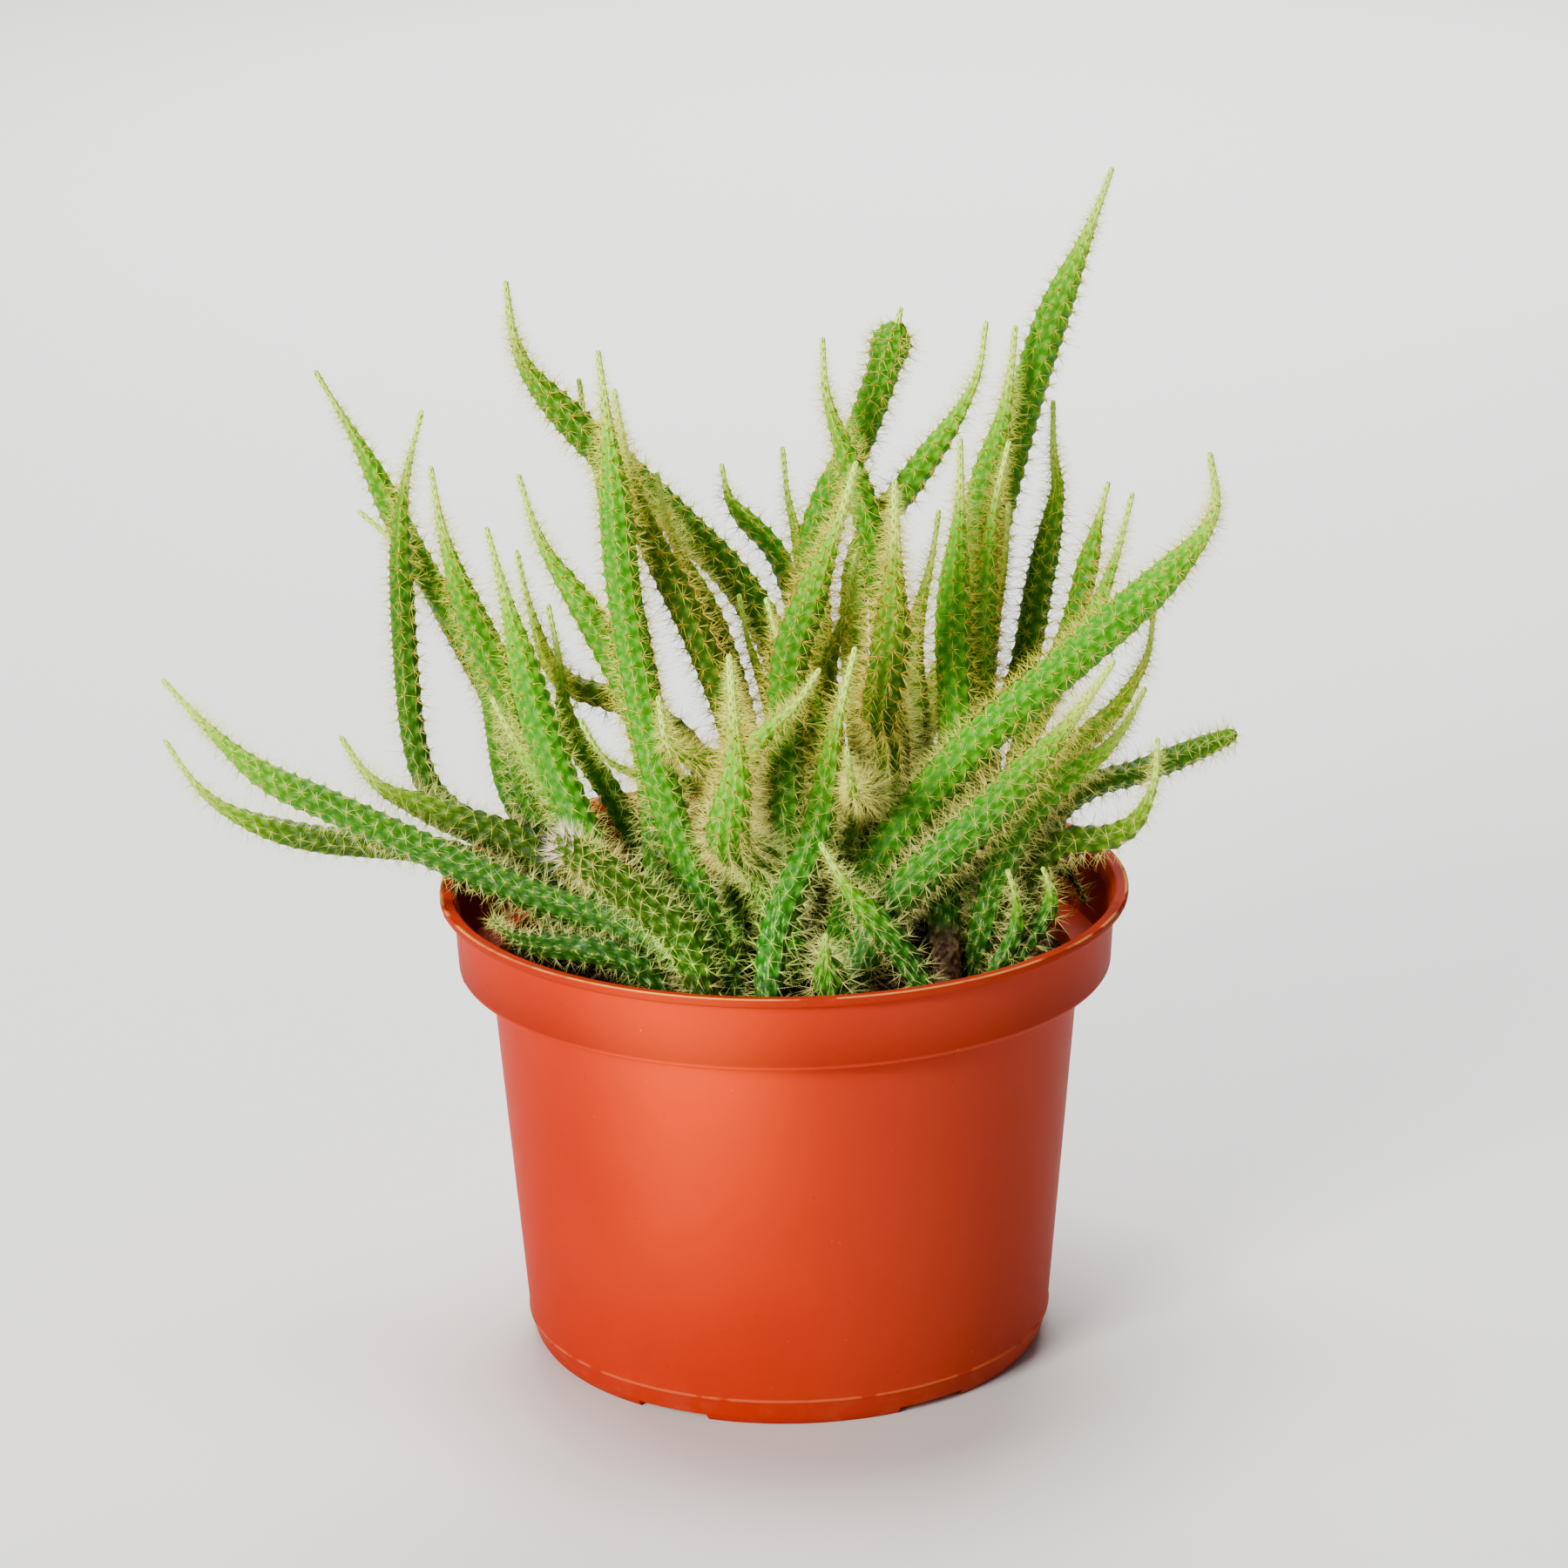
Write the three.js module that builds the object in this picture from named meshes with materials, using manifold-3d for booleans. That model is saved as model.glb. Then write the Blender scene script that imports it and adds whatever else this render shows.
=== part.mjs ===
// A rat tail cactus in its plastic nursery pot: the pot, the soil that fills it, and the stems,
// each standing in its own plain hole in the soil. Millimetres, +Z up, origin on the middle of
// the pot's underside. The front of the plant faces -Y.

import * as THREE from 'three';
import { deepCloneAttribute, mergeVertices } from 'three/addons/utils/BufferGeometryUtils.js';
import Module from 'manifold-3d';

const wasm = await Module();
wasm.setup();

// ---- Driving dimensions ----------------------------------------------------------------------

const POT = {
  height: 107.4,
  lipRadius: 77.5,
  lipHeight: 2.4,
  lipInnerRadius: 74.6,
  bandTopRadius: 74.4,
  bandBottomRadius: 73.6,
  bandHeight: 18,
  bodyTopRadius: 66.6,
  seamRadius: 59.8,
  seamHeight: 6.6,
  footRadius: 57.2,
  wall: 1.4,
  floorHeight: 2.4,
  floorThickness: 1.6,
  footRingWidth: 3.2,
  hubRadius: 7,
  segments: 36,
};

const DRAINS = {
  count: 6,
  firstAngle: -57,
  holeRadius: 3.6,
  ringRadius: 38,
  notchWidth: 17,
  notchHeight: 1.8,
};

const SOIL = { edgeHeight: 86.5, middleHeight: 90.5, unevenness: 0.5, segments: 24 };

const CLEARANCE = 0.3;            // between pieces that touch
const HOLE_SIDES = 6;
const HOLE_PLAY = 0.55;           // between a stem and its hole
const ROOT_DEPTH = 84.5;          // height of a stem's lower end, inside the soil
const ROOT_TOP = 94;              // up to here a stem rises straight out of its hole
const MAX_ROOT_RADIUS = 58.5;

const STEM = {
  sides: 8,
  hiddenSides: 6,
  ringSpacing: 10.6,
  taper: 42,                      // length of the pale tail
  shortTaperShare: 0.42,          // of a shoot's length, where that is less
  bluntTaper: 9,
  tipLengthShare: 0.12,           // of the taper that stays as thin as the tip
  tipShare: 0.22,                 // tip radius over stem radius
  bluntTipShare: 0.55,
  baseShare: 0.66,
  baseLength: 30,
  tubercle: 0.4,                  // how far the areoles stand out, and the dips between them in
};

// Where the rings stand on the tail, as shares of its length from the tip.
const TAIL_RING_SHARES = [0.32, 0.48, 0.64, 0.82];
const BLUNT_RING_SHARES = [0.12, 0.55];

const SPINE = { root: 0.5, length: 4.4, tipLength: 3, lean: 25, clearance: 1.05 };

const SPREAD = { step: 4, gap: 1.5, rounds: 140, sideShare: 0.35, depth: [0, 0.955, -0.297] };

// ---- The stems -------------------------------------------------------------------------------
// Each is drawn through a few points from its root to its tip: x to the right, y to the back, z up.
// root is where it stands in the soil. A shoot that grows from another stem names it in joins.

const STEMS = [
  { name: 'left_long', radius: 3.8, root: [-18, -39], points: [
    [-30, -31, 105], [-53, -17, 110], [-67, -12, 114], [-98, -6, 127], [-116, -3, 135], [-128, 0, 145],
    [-138, 2, 156]] },
  { name: 'left_low', radius: 3.4, root: [-49, 4], points: [
    [-68, 2, 111], [-80, 1, 115], [-106, 5, 117], [-120, 6, 121], [-130, 7, 127], [-139, 8, 140]] },
  { name: 'left_hairy', radius: 4.2, root: [-43, -4], points: [
    [-59, 7, 113], [-70, 9, 117], [-82, 11, 122], [-92, 12, 127], [-100, 12, 139]] },
  { name: 'left_upright', radius: 3.1, root: [-51, 16], points: [
    [-66, 18, 113], [-74, 20, 117], [-82, 24, 125], [-84, 25, 133], [-86, 29, 164], [-85, 30, 190],
    [-80, 30, 210]] },
  { name: 'left_high', radius: 3.4, root: [-50, 28], points: [
    [-63, 30, 120], [-68, 36, 147], [-83, 41, 172], [-94, 38, 198], [-104, 32, 219]] },
  { name: 'left_high_small', radius: 2.4, root: [-40, 39], hidden: true, points: [
    [-62, 43, 126], [-69, 46, 140], [-84, 49, 167], [-91, 49, 177], [-97, 49, 182]] },
  { name: 'left_inner_tall', radius: 3.9, root: [-44, 20], points: [
    [-57, 19, 120], [-61, 21, 143], [-72, 22, 170], [-77, 22, 190], [-78, 22, 199]] },
  { name: 'left_bright', radius: 4.3, root: [-34, -24], points: [
    [-45, -14, 124], [-53, -5, 143], [-60, 3, 169], [-65, 6, 189]] },
  { name: 'left_behind', radius: 3, root: [-12, 14], points: [
    [-20, 19, 132], [-32, 20, 142], [-50, 19, 150], [-56, 17, 166], [-59, 16, 181]] },
  { name: 'left_slim', radius: 3, root: [-26, -2], points: [
    [-36, 4, 122], [-42, 6, 132], [-48, 8, 142], [-50, 10, 158], [-52, 10, 170]] },
  { name: 'left_arching', radius: 3.7, root: [-21, -23], points: [
    [-27, -18, 112], [-29, -8, 133], [-33, 2, 149], [-44, 10, 169], [-53, 13, 183], [-58, 14, 199]] },
  { name: 'left_shoot', radius: 3.4, root: [-36, -9], points: [
    [-49, 3, 123], [-57, 7, 134], [-63, 8, 144], [-65, 8, 149]] },
  { name: 'middle_tall', radius: 4.1, root: [-11, -45], points: [
    [-18, -34, 113], [-28, -16, 146], [-34, -8, 177], [-37, -5, 213], [-39, -4, 231]] },
  { name: 'middle_second', radius: 3.6, root: [-8, 4], points: [
    [-10, 3, 138], [-20, 4, 167], [-31, 6, 192], [-36, 6, 220]] },
  { name: 'middle_rear_slim', radius: 2.6, root: [-24, 34], hidden: true, points: [
    [-31, 35, 148], [-38, 37, 181], [-44, 38, 206], [-45, 38, 215]] },
  { name: 'middle_olive', radius: 3.4, root: [2, 15], points: [
    [-6, 11, 140], [-15, 12, 166], [-24, 14, 185], [-27, 14, 199]] },
  { name: 'middle_leaning', radius: 4.3, root: [6, 25], points: [
    [2, 27, 144], [-8, 28, 167], [-26, 28, 187], [-47, 25, 209], [-57, 23, 223], [-60, 22, 241]] },
  { name: 'middle_crossing', radius: 2.6, root: [22, 3], points: [
    [10, 9, 131], [-15, 10, 127], [-30, 6, 130], [-40, 0, 137], [-45, -3, 147]] },
  { name: 'front_hairy', radius: 4.2, root: [-2, -3], points: [
    [-13, -13, 137], [-20, -20, 142], [-25, -25, 147], [-27, -25, 158]] },
  { name: 'front_upturned', radius: 4.9, root: [2, -19], points: [
    [-5, -28, 121], [-11, -41, 130], [-12, -52, 138], [-10, -56, 149], [-11, -52, 176]] },
  { name: 'front_short_right', radius: 3.6, root: [-10, -10], points: [
    [-10, -13, 138], [-6, -15, 146], [2, -17, 154], [8, -18, 163]] },
  { name: 'front_ball', radius: 4.3, root: [14, -8], points: [
    [19, -20, 133], [17, -36, 139], [15, -48, 145], [14, -49, 154]] },
  { name: 'front_left_blunt', radius: 4.4, root: [-17, -54], blunt: true, points: [
    [-22, -49, 111], [-33, -47, 121], [-49, -48, 134]] },
  { name: 'centre_slim', radius: 2.7, root: [2, 9], points: [
    [-5, 17, 143], [-9, 20, 157], [-11, 20, 169]] },
  { name: 'centre_bright', radius: 3.4, root: [12, 6], points: [
    [6, 9, 150], [0, 13, 160], [-3, 14, 170]] },
  { name: 'rear_fork', radius: 3, root: [6, 43], points: [
    [6, 41, 155], [5, 41, 172], [2, 40, 187], [1, 40, 198]] },
  { name: 'rear_fork_low', radius: 2.6, joins: 'rear_fork', points: [
    [6, 41, 158], [1, 43, 170], [-6, 45, 178], [-11, 45, 184], [-13, 45, 193]] },
  { name: 'centre_leaning', radius: 4.4, root: [0, -8], points: [
    [1, 0, 157], [8, 1, 177], [14, -2, 194], [17, -2, 205]] },
  { name: 'rear_left_tip', radius: 3.7, root: [22, 30], points: [
    [23, 28, 170], [17, 26, 194], [11, 24, 213], [10, 24, 227]] },
  { name: 'rear_blunt', radius: 3.9, root: [15, 37], stubby: true, points: [
    [8, 37, 178], [17, 40, 197], [25, 40, 219], [28, 40, 230]] },
  { name: 'rear_arching', radius: 3.5, root: [21, 45], points: [
    [18, 41, 171], [30, 35, 191], [42, 34, 209], [46, 34, 219], [47, 34, 228]] },
  { name: 'centre_hairy', radius: 4.6, root: [24, 12], points: [
    [24, 1, 142], [22, -13, 152], [24, -20, 168], [25, -19, 190], [25, -18, 205]] },
  { name: 'centre_olive', radius: 3.2, root: [12, 16], points: [
    [10, 12, 152], [15, 12, 168], [17, 12, 180]] },
  { name: 'right_upright', radius: 4.1, root: [36, -33], points: [
    [36, -22, 115], [39, -8, 138], [38, 1, 166], [40, 5, 195], [40, 5, 208]] },
  { name: 'right_dark', radius: 3.2, root: [33, 18], hidden: true, points: [
    [31, 21, 140], [30, 24, 155], [34, 24, 174], [36, 24, 187]] },
  { name: 'right_leaning', radius: 3.9, root: [40, 12], points: [
    [42, 17, 161], [46, 20, 191], [51, 20, 212], [53, 20, 230]] },
  { name: 'right_thin_front', radius: 3.3, root: [44, 2], points: [
    [44, 9, 160], [47, 11, 187], [51, 11, 206]] },
  { name: 'right_thin_rear', radius: 3.3, root: [49, 12], points: [
    [46, 18, 153], [50, 20, 175], [51, 19, 190]] },
  { name: 'right_tallest', radius: 4.2, root: [45, 27], points: [
    [46, 30, 166], [53, 31, 200], [61, 27, 229], [69, 23, 250], [74, 20, 265]] },
  { name: 'right_rear_long', radius: 3.6, root: [24, -3], points: [
    [33, 6, 130], [50, 23, 142], [58, 33, 167], [63, 36, 192], [61, 36, 200], [62, 36, 209]] },
  { name: 'right_pair', radius: 3.1, root: [50, -3], points: [
    [53, 4, 135], [67, 14, 157], [75, 18, 176], [79, 18, 192]] },
  { name: 'right_pair_left', radius: 2.8, joins: 'right_pair', points: [
    [61, 10, 147], [66, 20, 161], [70, 24, 176], [74, 24, 193]] },
  { name: 'right_long', radius: 4.6, root: [10, -27], points: [
    [19, -20, 118], [40, -18, 143], [65, -12, 163], [88, -7, 183], [95, -6, 193], [94, -6, 207]] },
  { name: 'right_front_long', radius: 4.5, root: [14, -47], points: [
    [22, -42, 114], [42, -36, 132], [62, -31, 153], [72, -30, 167]] },
  { name: 'right_front_short', radius: 4, root: [42, -27], points: [
    [54, -22, 131], [72, -18, 144], [80, -14, 156]] },
  { name: 'right_hairy', radius: 3.3, root: [53, -15], points: [
    [61, -7, 135], [74, -2, 147], [82, 2, 160], [83, 2, 170]] },
  { name: 'right_low_rear', radius: 3.1, root: [53, -5], stubby: true, points: [
    [62, 2, 124], [84, 11, 130], [103, 16, 136]] },
  { name: 'right_low_front', radius: 3.4, root: [52, -23], points: [
    [57, -18, 119], [75, -21, 125], [81, -22, 135], [82, -22, 147]] },
  { name: 'rim_shoot_left', radius: 2.3, root: [45, -36], points: [
    [51, -35, 107], [51, -34, 114], [49, -34, 121]] },
  { name: 'rim_shoot_right', radius: 2.4, joins: 'rim_shoot_left', points: [
    [49, -35, 101], [57, -30, 107], [59, -27, 113], [57, -27, 119]] },
  { name: 'drooping', radius: 2.2, root: [54, 7], points: [
    [60, 5, 108], [65, 4, 106], [68, 2, 100]] },
  { name: 'front_bright', radius: 3.7, root: [-4, -56], points: [
    [-2, -46, 112], [7, -38, 131], [11, -35, 151], [16, -34, 172]] },
  { name: 'front_crossing', radius: 3.3, root: [33, -49], points: [
    [23, -50, 112], [15, -50, 121], [8, -50, 133]] },
  { name: 'front_tuft', radius: 4.2, root: [11, -57], points: [
    [10, -61, 105], [9, -65, 112], [9, -68, 118]] },
  { name: 'old_wood', radius: 3.2, root: [47, -26], blunt: true, wood: true, points: [
    [44, -20, 104], [43, -16, 113]] },
  { name: 'rim_follower', radius: 3.3, root: [-25, -45], points: [
    [-35, -43, 105], [-47, -40, 106], [-58, -31, 105], [-65, -19, 106]] },
  { name: 'back_left', radius: 3.4, root: [-24, 48], hidden: true, points: [
    [-29, 62, 122], [-38, 78, 140], [-46, 92, 150]] },
  { name: 'back_middle', radius: 3.6, root: [-2, 53], hidden: true, points: [
    [0, 68, 124], [5, 86, 138], [8, 100, 144]] },
  { name: 'back_right', radius: 3.5, root: [28, 50], hidden: true, points: [
    [34, 66, 124], [43, 82, 142], [50, 94, 152]] },
];

// ---- Small helpers ---------------------------------------------------------------------------

const COLOURS = { pot: 0xd5532a, soil: 0x2b2018, wood: 0x8a6a52 };

function finish(kind) {
  const roughness = kind === 'pot' ? 0.42 : 0.85;
  return new THREE.MeshStandardMaterial({ color: COLOURS[kind], roughness, metalness: 0 });
}

function stemFinish(index) {
  const colour = new THREE.Color().setHSL(0.27 + 0.015 * Math.sin(2.4 * index), 0.55, 0.33);
  return new THREE.MeshStandardMaterial({ color: colour, roughness: 0.6, metalness: 0 });
}

// A closed geometry as a solid that can be joined and cut.
function solidFrom(geometry) {
  const bare = new THREE.BufferGeometry();
  bare.setAttribute('position', deepCloneAttribute(geometry.getAttribute('position')));
  if (geometry.index) bare.setIndex(geometry.index.clone());
  const merged = mergeVertices(bare, 1e-4);
  const vertProperties = Float32Array.from(merged.getAttribute('position').array);
  const triVerts = Uint32Array.from(merged.index.array);
  return new wasm.Manifold(new wasm.Mesh({ numProp: 3, vertProperties, triVerts }));
}

function geometryFrom(solid) {
  const mesh = solid.getMesh();
  const geometry = new THREE.BufferGeometry();
  geometry.setAttribute('position', new THREE.BufferAttribute(mesh.vertProperties, 3));
  geometry.setIndex(new THREE.BufferAttribute(mesh.triVerts, 1));
  geometry.computeVertexNormals();
  return geometry;
}

// A profile of [radius, height] pairs turned about Z.
function turned(profile, segments) {
  const points = profile.map(([radius, height]) => new THREE.Vector2(radius, height));
  return new THREE.LatheGeometry(points, segments).rotateX(Math.PI / 2);
}

function smoothstep(value) {
  const t = THREE.MathUtils.clamp(value, 0, 1);
  return t * t * (3 - 2 * t);
}

// ---- Pot -------------------------------------------------------------------------------------

// Radius of the tapered body's outside at a height.
function bodyRadius(height) {
  const bandBottom = POT.height - POT.bandHeight;
  const share = (height - POT.seamHeight) / (bandBottom - POT.seamHeight);
  return THREE.MathUtils.lerp(POT.seamRadius, POT.bodyTopRadius, share);
}

function potProfile() {
  const { height, wall, floorHeight, floorThickness, footRadius, footRingWidth, hubRadius } = POT;
  const bandBottom = height - POT.bandHeight;
  const lipBottom = height - POT.lipHeight;
  const innerFloor = floorHeight + floorThickness;
  return [
    [0, 0],
    [hubRadius, 0],
    [hubRadius + 1, floorHeight],
    [footRadius - footRingWidth, floorHeight],
    [footRadius - footRingWidth, 0],
    [footRadius, 0],
    [footRadius + 1.4, 2],
    [POT.seamRadius, POT.seamHeight],
    [POT.bodyTopRadius, bandBottom + 1],
    [POT.bandBottomRadius, bandBottom],
    [POT.bandTopRadius, lipBottom],
    [POT.lipRadius, lipBottom + 0.4],
    [POT.lipRadius, height],
    [POT.lipInnerRadius, height],
    [POT.bandTopRadius - wall, lipBottom - 1.5],
    [POT.bandBottomRadius - wall, bandBottom + wall],
    [POT.bodyTopRadius - wall, bandBottom + wall - 0.5],
    [bodyRadius(innerFloor) - wall, innerFloor],
    [0, innerFloor],
  ];
}

function pot() {
  let solid = solidFrom(turned(potProfile(), POT.segments));
  for (let index = 0; index < DRAINS.count; index += 1) {
    const angle = THREE.MathUtils.degToRad(DRAINS.firstAngle + (360 / DRAINS.count) * index);
    const hole = new THREE.CylinderGeometry(DRAINS.holeRadius, DRAINS.holeRadius, 12, HOLE_SIDES);
    hole.rotateX(Math.PI / 2).translate(DRAINS.ringRadius, 0, POT.floorHeight).rotateZ(angle);
    const notch = new THREE.BoxGeometry(14, DRAINS.notchWidth, 2 * DRAINS.notchHeight);
    notch.translate(POT.footRadius, 0, 0).rotateZ(angle);
    solid = solid.subtract(solidFrom(hole)).subtract(solidFrom(notch));
  }
  return geometryFrom(solid);
}

// ---- Stems: where they run --------------------------------------------------------------------

// Stem radius at a distance from the tip and from the root.
function radiusAt(stem, fromTip, fromRoot) {
  const base = STEM.baseShare + (1 - STEM.baseShare) * smoothstep(fromRoot / STEM.baseLength);
  const fromThinPart = fromTip / stem.taper - STEM.tipLengthShare;
  const pointed = smoothstep(fromThinPart / (1 - STEM.tipLengthShare));
  const tipShare = stem.blunt || stem.stubby ? STEM.bluntTipShare : STEM.tipShare;
  const tip = tipShare + (1 - tipShare) * pointed;
  return stem.radius * tip * (stem.joins ? 1 : base);
}

// Steps of equal length along a smooth curve through the stem's points, from root to tip.
function steppedPath(stem) {
  const points = stem.points.map((point) => new THREE.Vector3(...point));
  if (stem.root) {
    points.unshift(new THREE.Vector3(...stem.root, ROOT_TOP));
    points.unshift(new THREE.Vector3(...stem.root, ROOT_DEPTH));
  }
  const curve = new THREE.CatmullRomCurve3(points, false, 'centripetal');
  const length = curve.getLength();
  const count = Math.max(4, Math.round(length / SPREAD.step));
  return { length, path: curve.getSpacedPoints(count) };
}

function prepared(stem) {
  const { length, path } = steppedPath(stem);
  const shortTaper = length * STEM.shortTaperShare;
  const taper = stem.blunt || stem.stubby ? STEM.bluntTaper : Math.min(STEM.taper, shortTaper);
  const family = stem.joins ?? stem.name;
  const moved = path.map(() => new THREE.Vector3());
  const grown = { ...stem, length, taper, family, path, moved };
  const step = length / (path.length - 1);
  grown.radii = path.map((_, k) => radiusAt(grown, (path.length - 1 - k) * step, k * step));
  return grown;
}

// Pushes a pair of points apart when their stems come closer than the gap. Most of the push is
// in depth, so that a stem keeps its place when the plant is seen from the front.
const depthAxis = new THREE.Vector3(...SPREAD.depth).normalize();
const between = new THREE.Vector3();

function pushApart(one, i, other, j) {
  between.copy(one.path[i]).add(one.moved[i]).sub(other.path[j]).sub(other.moved[j]);
  const room = one.radii[i] + other.radii[j] + SPREAD.gap;
  const distance = between.length();
  if (distance >= room) return;
  const along = between.dot(depthAxis);
  between.multiplyScalar(SPREAD.sideShare).addScaledVector(depthAxis, (1 - SPREAD.sideShare) * along);
  if (between.lengthSq() < 1e-6) between.copy(depthAxis);
  between.setLength((room - distance) * 0.5);
  one.moved[i].add(between);
  other.moved[j].sub(between);
}

// Keeps a point inside the pot's band, or above the lip where the stem leaves the pot, and off
// the soil.
function keepClearOfPot(stem, k) {
  const point = stem.path[k].clone().add(stem.moved[k]);
  const radius = stem.radii[k] + STEM.tubercle + 0.8;
  const reach = Math.hypot(point.x, point.y);
  const inner = POT.bandBottomRadius - POT.wall - radius;
  if (point.z < POT.height + radius && reach > inner) {
    if (point.z >= POT.height - 1) {
      stem.moved[k].z += 0.5 * (POT.height + radius - point.z);
    } else {
      stem.moved[k].x += point.x * (inner / reach - 1);
      stem.moved[k].y += point.y * (inner / reach - 1);
    }
  }
  if (k > 3 && point.z < ROOT_TOP + radius - 2) stem.moved[k].z += 0.5;
}

// The buried end and the first steps above it move sideways as one, and stay in the soil.
function settleRoot(stem) {
  if (!stem.root) return;
  const shift = stem.moved[1].clone();
  const x = stem.root[0] + shift.x;
  const y = stem.root[1] + shift.y;
  const reach = Math.hypot(x, y);
  const limit = MAX_ROOT_RADIUS - stem.radius * STEM.baseShare;
  if (reach > limit) {
    shift.x += x * (limit / reach - 1);
    shift.y += y * (limit / reach - 1);
  }
  shift.z = 0;
  for (let k = 0; k < 3; k += 1) stem.moved[k].copy(shift);
}

function smoothMoves(stem) {
  const last = stem.moved.length - 1;
  const before = stem.moved.map((move) => move.clone());
  for (let k = 0; k <= last; k += 1) {
    const lower = before[Math.max(0, k - 1)];
    const upper = before[Math.min(last, k + 1)];
    stem.moved[k].multiplyScalar(0.5).addScaledVector(lower, 0.25).addScaledVector(upper, 0.25);
  }
}

// A shoot's foot follows the stem that it grows from.
function followParent(stem, byName) {
  if (!stem.joins) return;
  const parent = byName.get(stem.joins);
  const foot = stem.path[0];
  const distances = parent.path.map((point) => point.distanceTo(foot));
  const nearest = distances.indexOf(Math.min(...distances));
  for (let k = 0; k < 3; k += 1) stem.moved[k].lerp(parent.moved[nearest], 1 - k / 3);
}

// Spreads all the stems until none touches another, the pot or the soil.
function spread(stems) {
  const byName = new Map(stems.map((stem) => [stem.name, stem]));
  for (let round = 0; round < SPREAD.rounds; round += 1) {
    for (let a = 0; a < stems.length; a += 1) {
      for (let b = a + 1; b < stems.length; b += 1) {
        if (stems[a].family === stems[b].family) continue;
        for (let i = 0; i < stems[a].path.length; i += 1) {
          for (let j = 0; j < stems[b].path.length; j += 1) pushApart(stems[a], i, stems[b], j);
        }
      }
    }
    for (const stem of stems) {
      for (let k = 0; k < stem.path.length; k += 1) keepClearOfPot(stem, k);
      smoothMoves(stem);
      settleRoot(stem);
      followParent(stem, byName);
    }
  }
  for (const stem of stems) stem.path.forEach((point, k) => point.add(stem.moved[k]));
}

// ---- Stems: their solids ----------------------------------------------------------------------

// Distances of the rings from the tip: close together on the tail, then evenly spaced.
function ringDistances(stem, length) {
  const shares = stem.blunt || stem.stubby ? BLUNT_RING_SHARES : TAIL_RING_SHARES;
  const distances = shares.map((share) => share * stem.taper);
  const start = distances.at(-1);
  const count = Math.max(2, Math.round((length - start) / STEM.ringSpacing));
  for (let k = 1; k <= count; k += 1) distances.push(start + ((length - start) * k) / count);
  return distances;
}

// The stem as a closed mesh: a tip point, rings of alternating areoles and dips, and a flat foot.
function tubeMesh(stem) {
  const curve = new THREE.CatmullRomCurve3(stem.path, false, 'centripetal');
  const length = curve.getLength();
  const sides = stem.hidden ? STEM.hiddenSides : STEM.sides;
  const across = new THREE.Vector3();
  const side = new THREE.Vector3();
  let reference = new THREE.Vector3(1, 0.3, 0);
  const vertices = [curve.getPointAt(1)];
  const rings = [];
  for (const distance of ringDistances(stem, length)) {
    const u = Math.max(0, 1 - distance / length);
    const centre = curve.getPointAt(u);
    const tangent = curve.getTangentAt(u);
    side.copy(reference).addScaledVector(tangent, -reference.dot(tangent)).normalize();
    reference = side.clone();
    across.crossVectors(tangent, side);
    const radius = radiusAt(stem, distance, length - distance);
    const relief = Math.min(STEM.tubercle, 0.16 * radius);
    const ring = { first: vertices.length, centre, tangent, distance };
    for (let j = 0; j < sides; j += 1) {
      const angle = (2 * Math.PI * j) / sides;
      const reach = radius + ((rings.length + j) % 2 === 0 ? relief : -relief);
      const rim = centre.clone().addScaledVector(side, reach * Math.cos(angle));
      vertices.push(rim.addScaledVector(across, reach * Math.sin(angle)));
    }
    rings.push(ring);
  }
  vertices.push(curve.getPointAt(0));
  return { vertices, rings, sides, faces: tubeFaces(rings.length, sides) };
}

function tubeFaces(ringCount, sides) {
  const faces = [];
  const at = (ring, j) => 1 + ring * sides + (j % sides);
  for (let j = 0; j < sides; j += 1) {
    faces.push([0, at(0, j), at(0, j + 1)]);
    for (let ring = 0; ring < ringCount - 1; ring += 1) {
      faces.push([at(ring, j), at(ring + 1, j), at(ring + 1, j + 1)]);
      faces.push([at(ring, j), at(ring + 1, j + 1), at(ring, j + 1)]);
    }
    faces.push([at(ringCount - 1, j + 1), at(ringCount - 1, j), 1 + ringCount * sides]);
  }
  return faces;
}

// Grows a three-sided spine out of the corner of a face: two more points on the face's edges
// make its foot, and the faces next to those edges are split to match.
function growSpine(mesh, faceIndex, apex) {
  const [corner, b, c] = mesh.faces[faceIndex];
  const { vertices } = mesh;
  const onEdge = (end) => {
    const direction = vertices[end].clone().sub(vertices[corner]).setLength(SPINE.root);
    vertices.push(vertices[corner].clone().add(direction));
    return vertices.length - 1;
  };
  const q = onEdge(b);
  const r = onEdge(c);
  vertices.push(apex);
  const tip = vertices.length - 1;
  splitEdge(mesh, b, corner, q);
  splitEdge(mesh, corner, c, r);
  mesh.faces[faceIndex] = [q, b, c];
  mesh.faces.push([q, c, r], [corner, q, tip], [q, r, tip], [r, corner, tip]);
}

// Splits the face that runs from one vertex to another at a point between them.
function splitEdge(mesh, from, to, middle) {
  const index = mesh.faces.findIndex((face) => {
    const place = face.indexOf(from);
    return place >= 0 && face[(place + 1) % 3] === to;
  });
  const face = mesh.faces[index];
  const opposite = face[(face.indexOf(from) + 2) % 3];
  mesh.faces[index] = [from, middle, opposite];
  mesh.faces.push([middle, to, opposite]);
}

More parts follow.
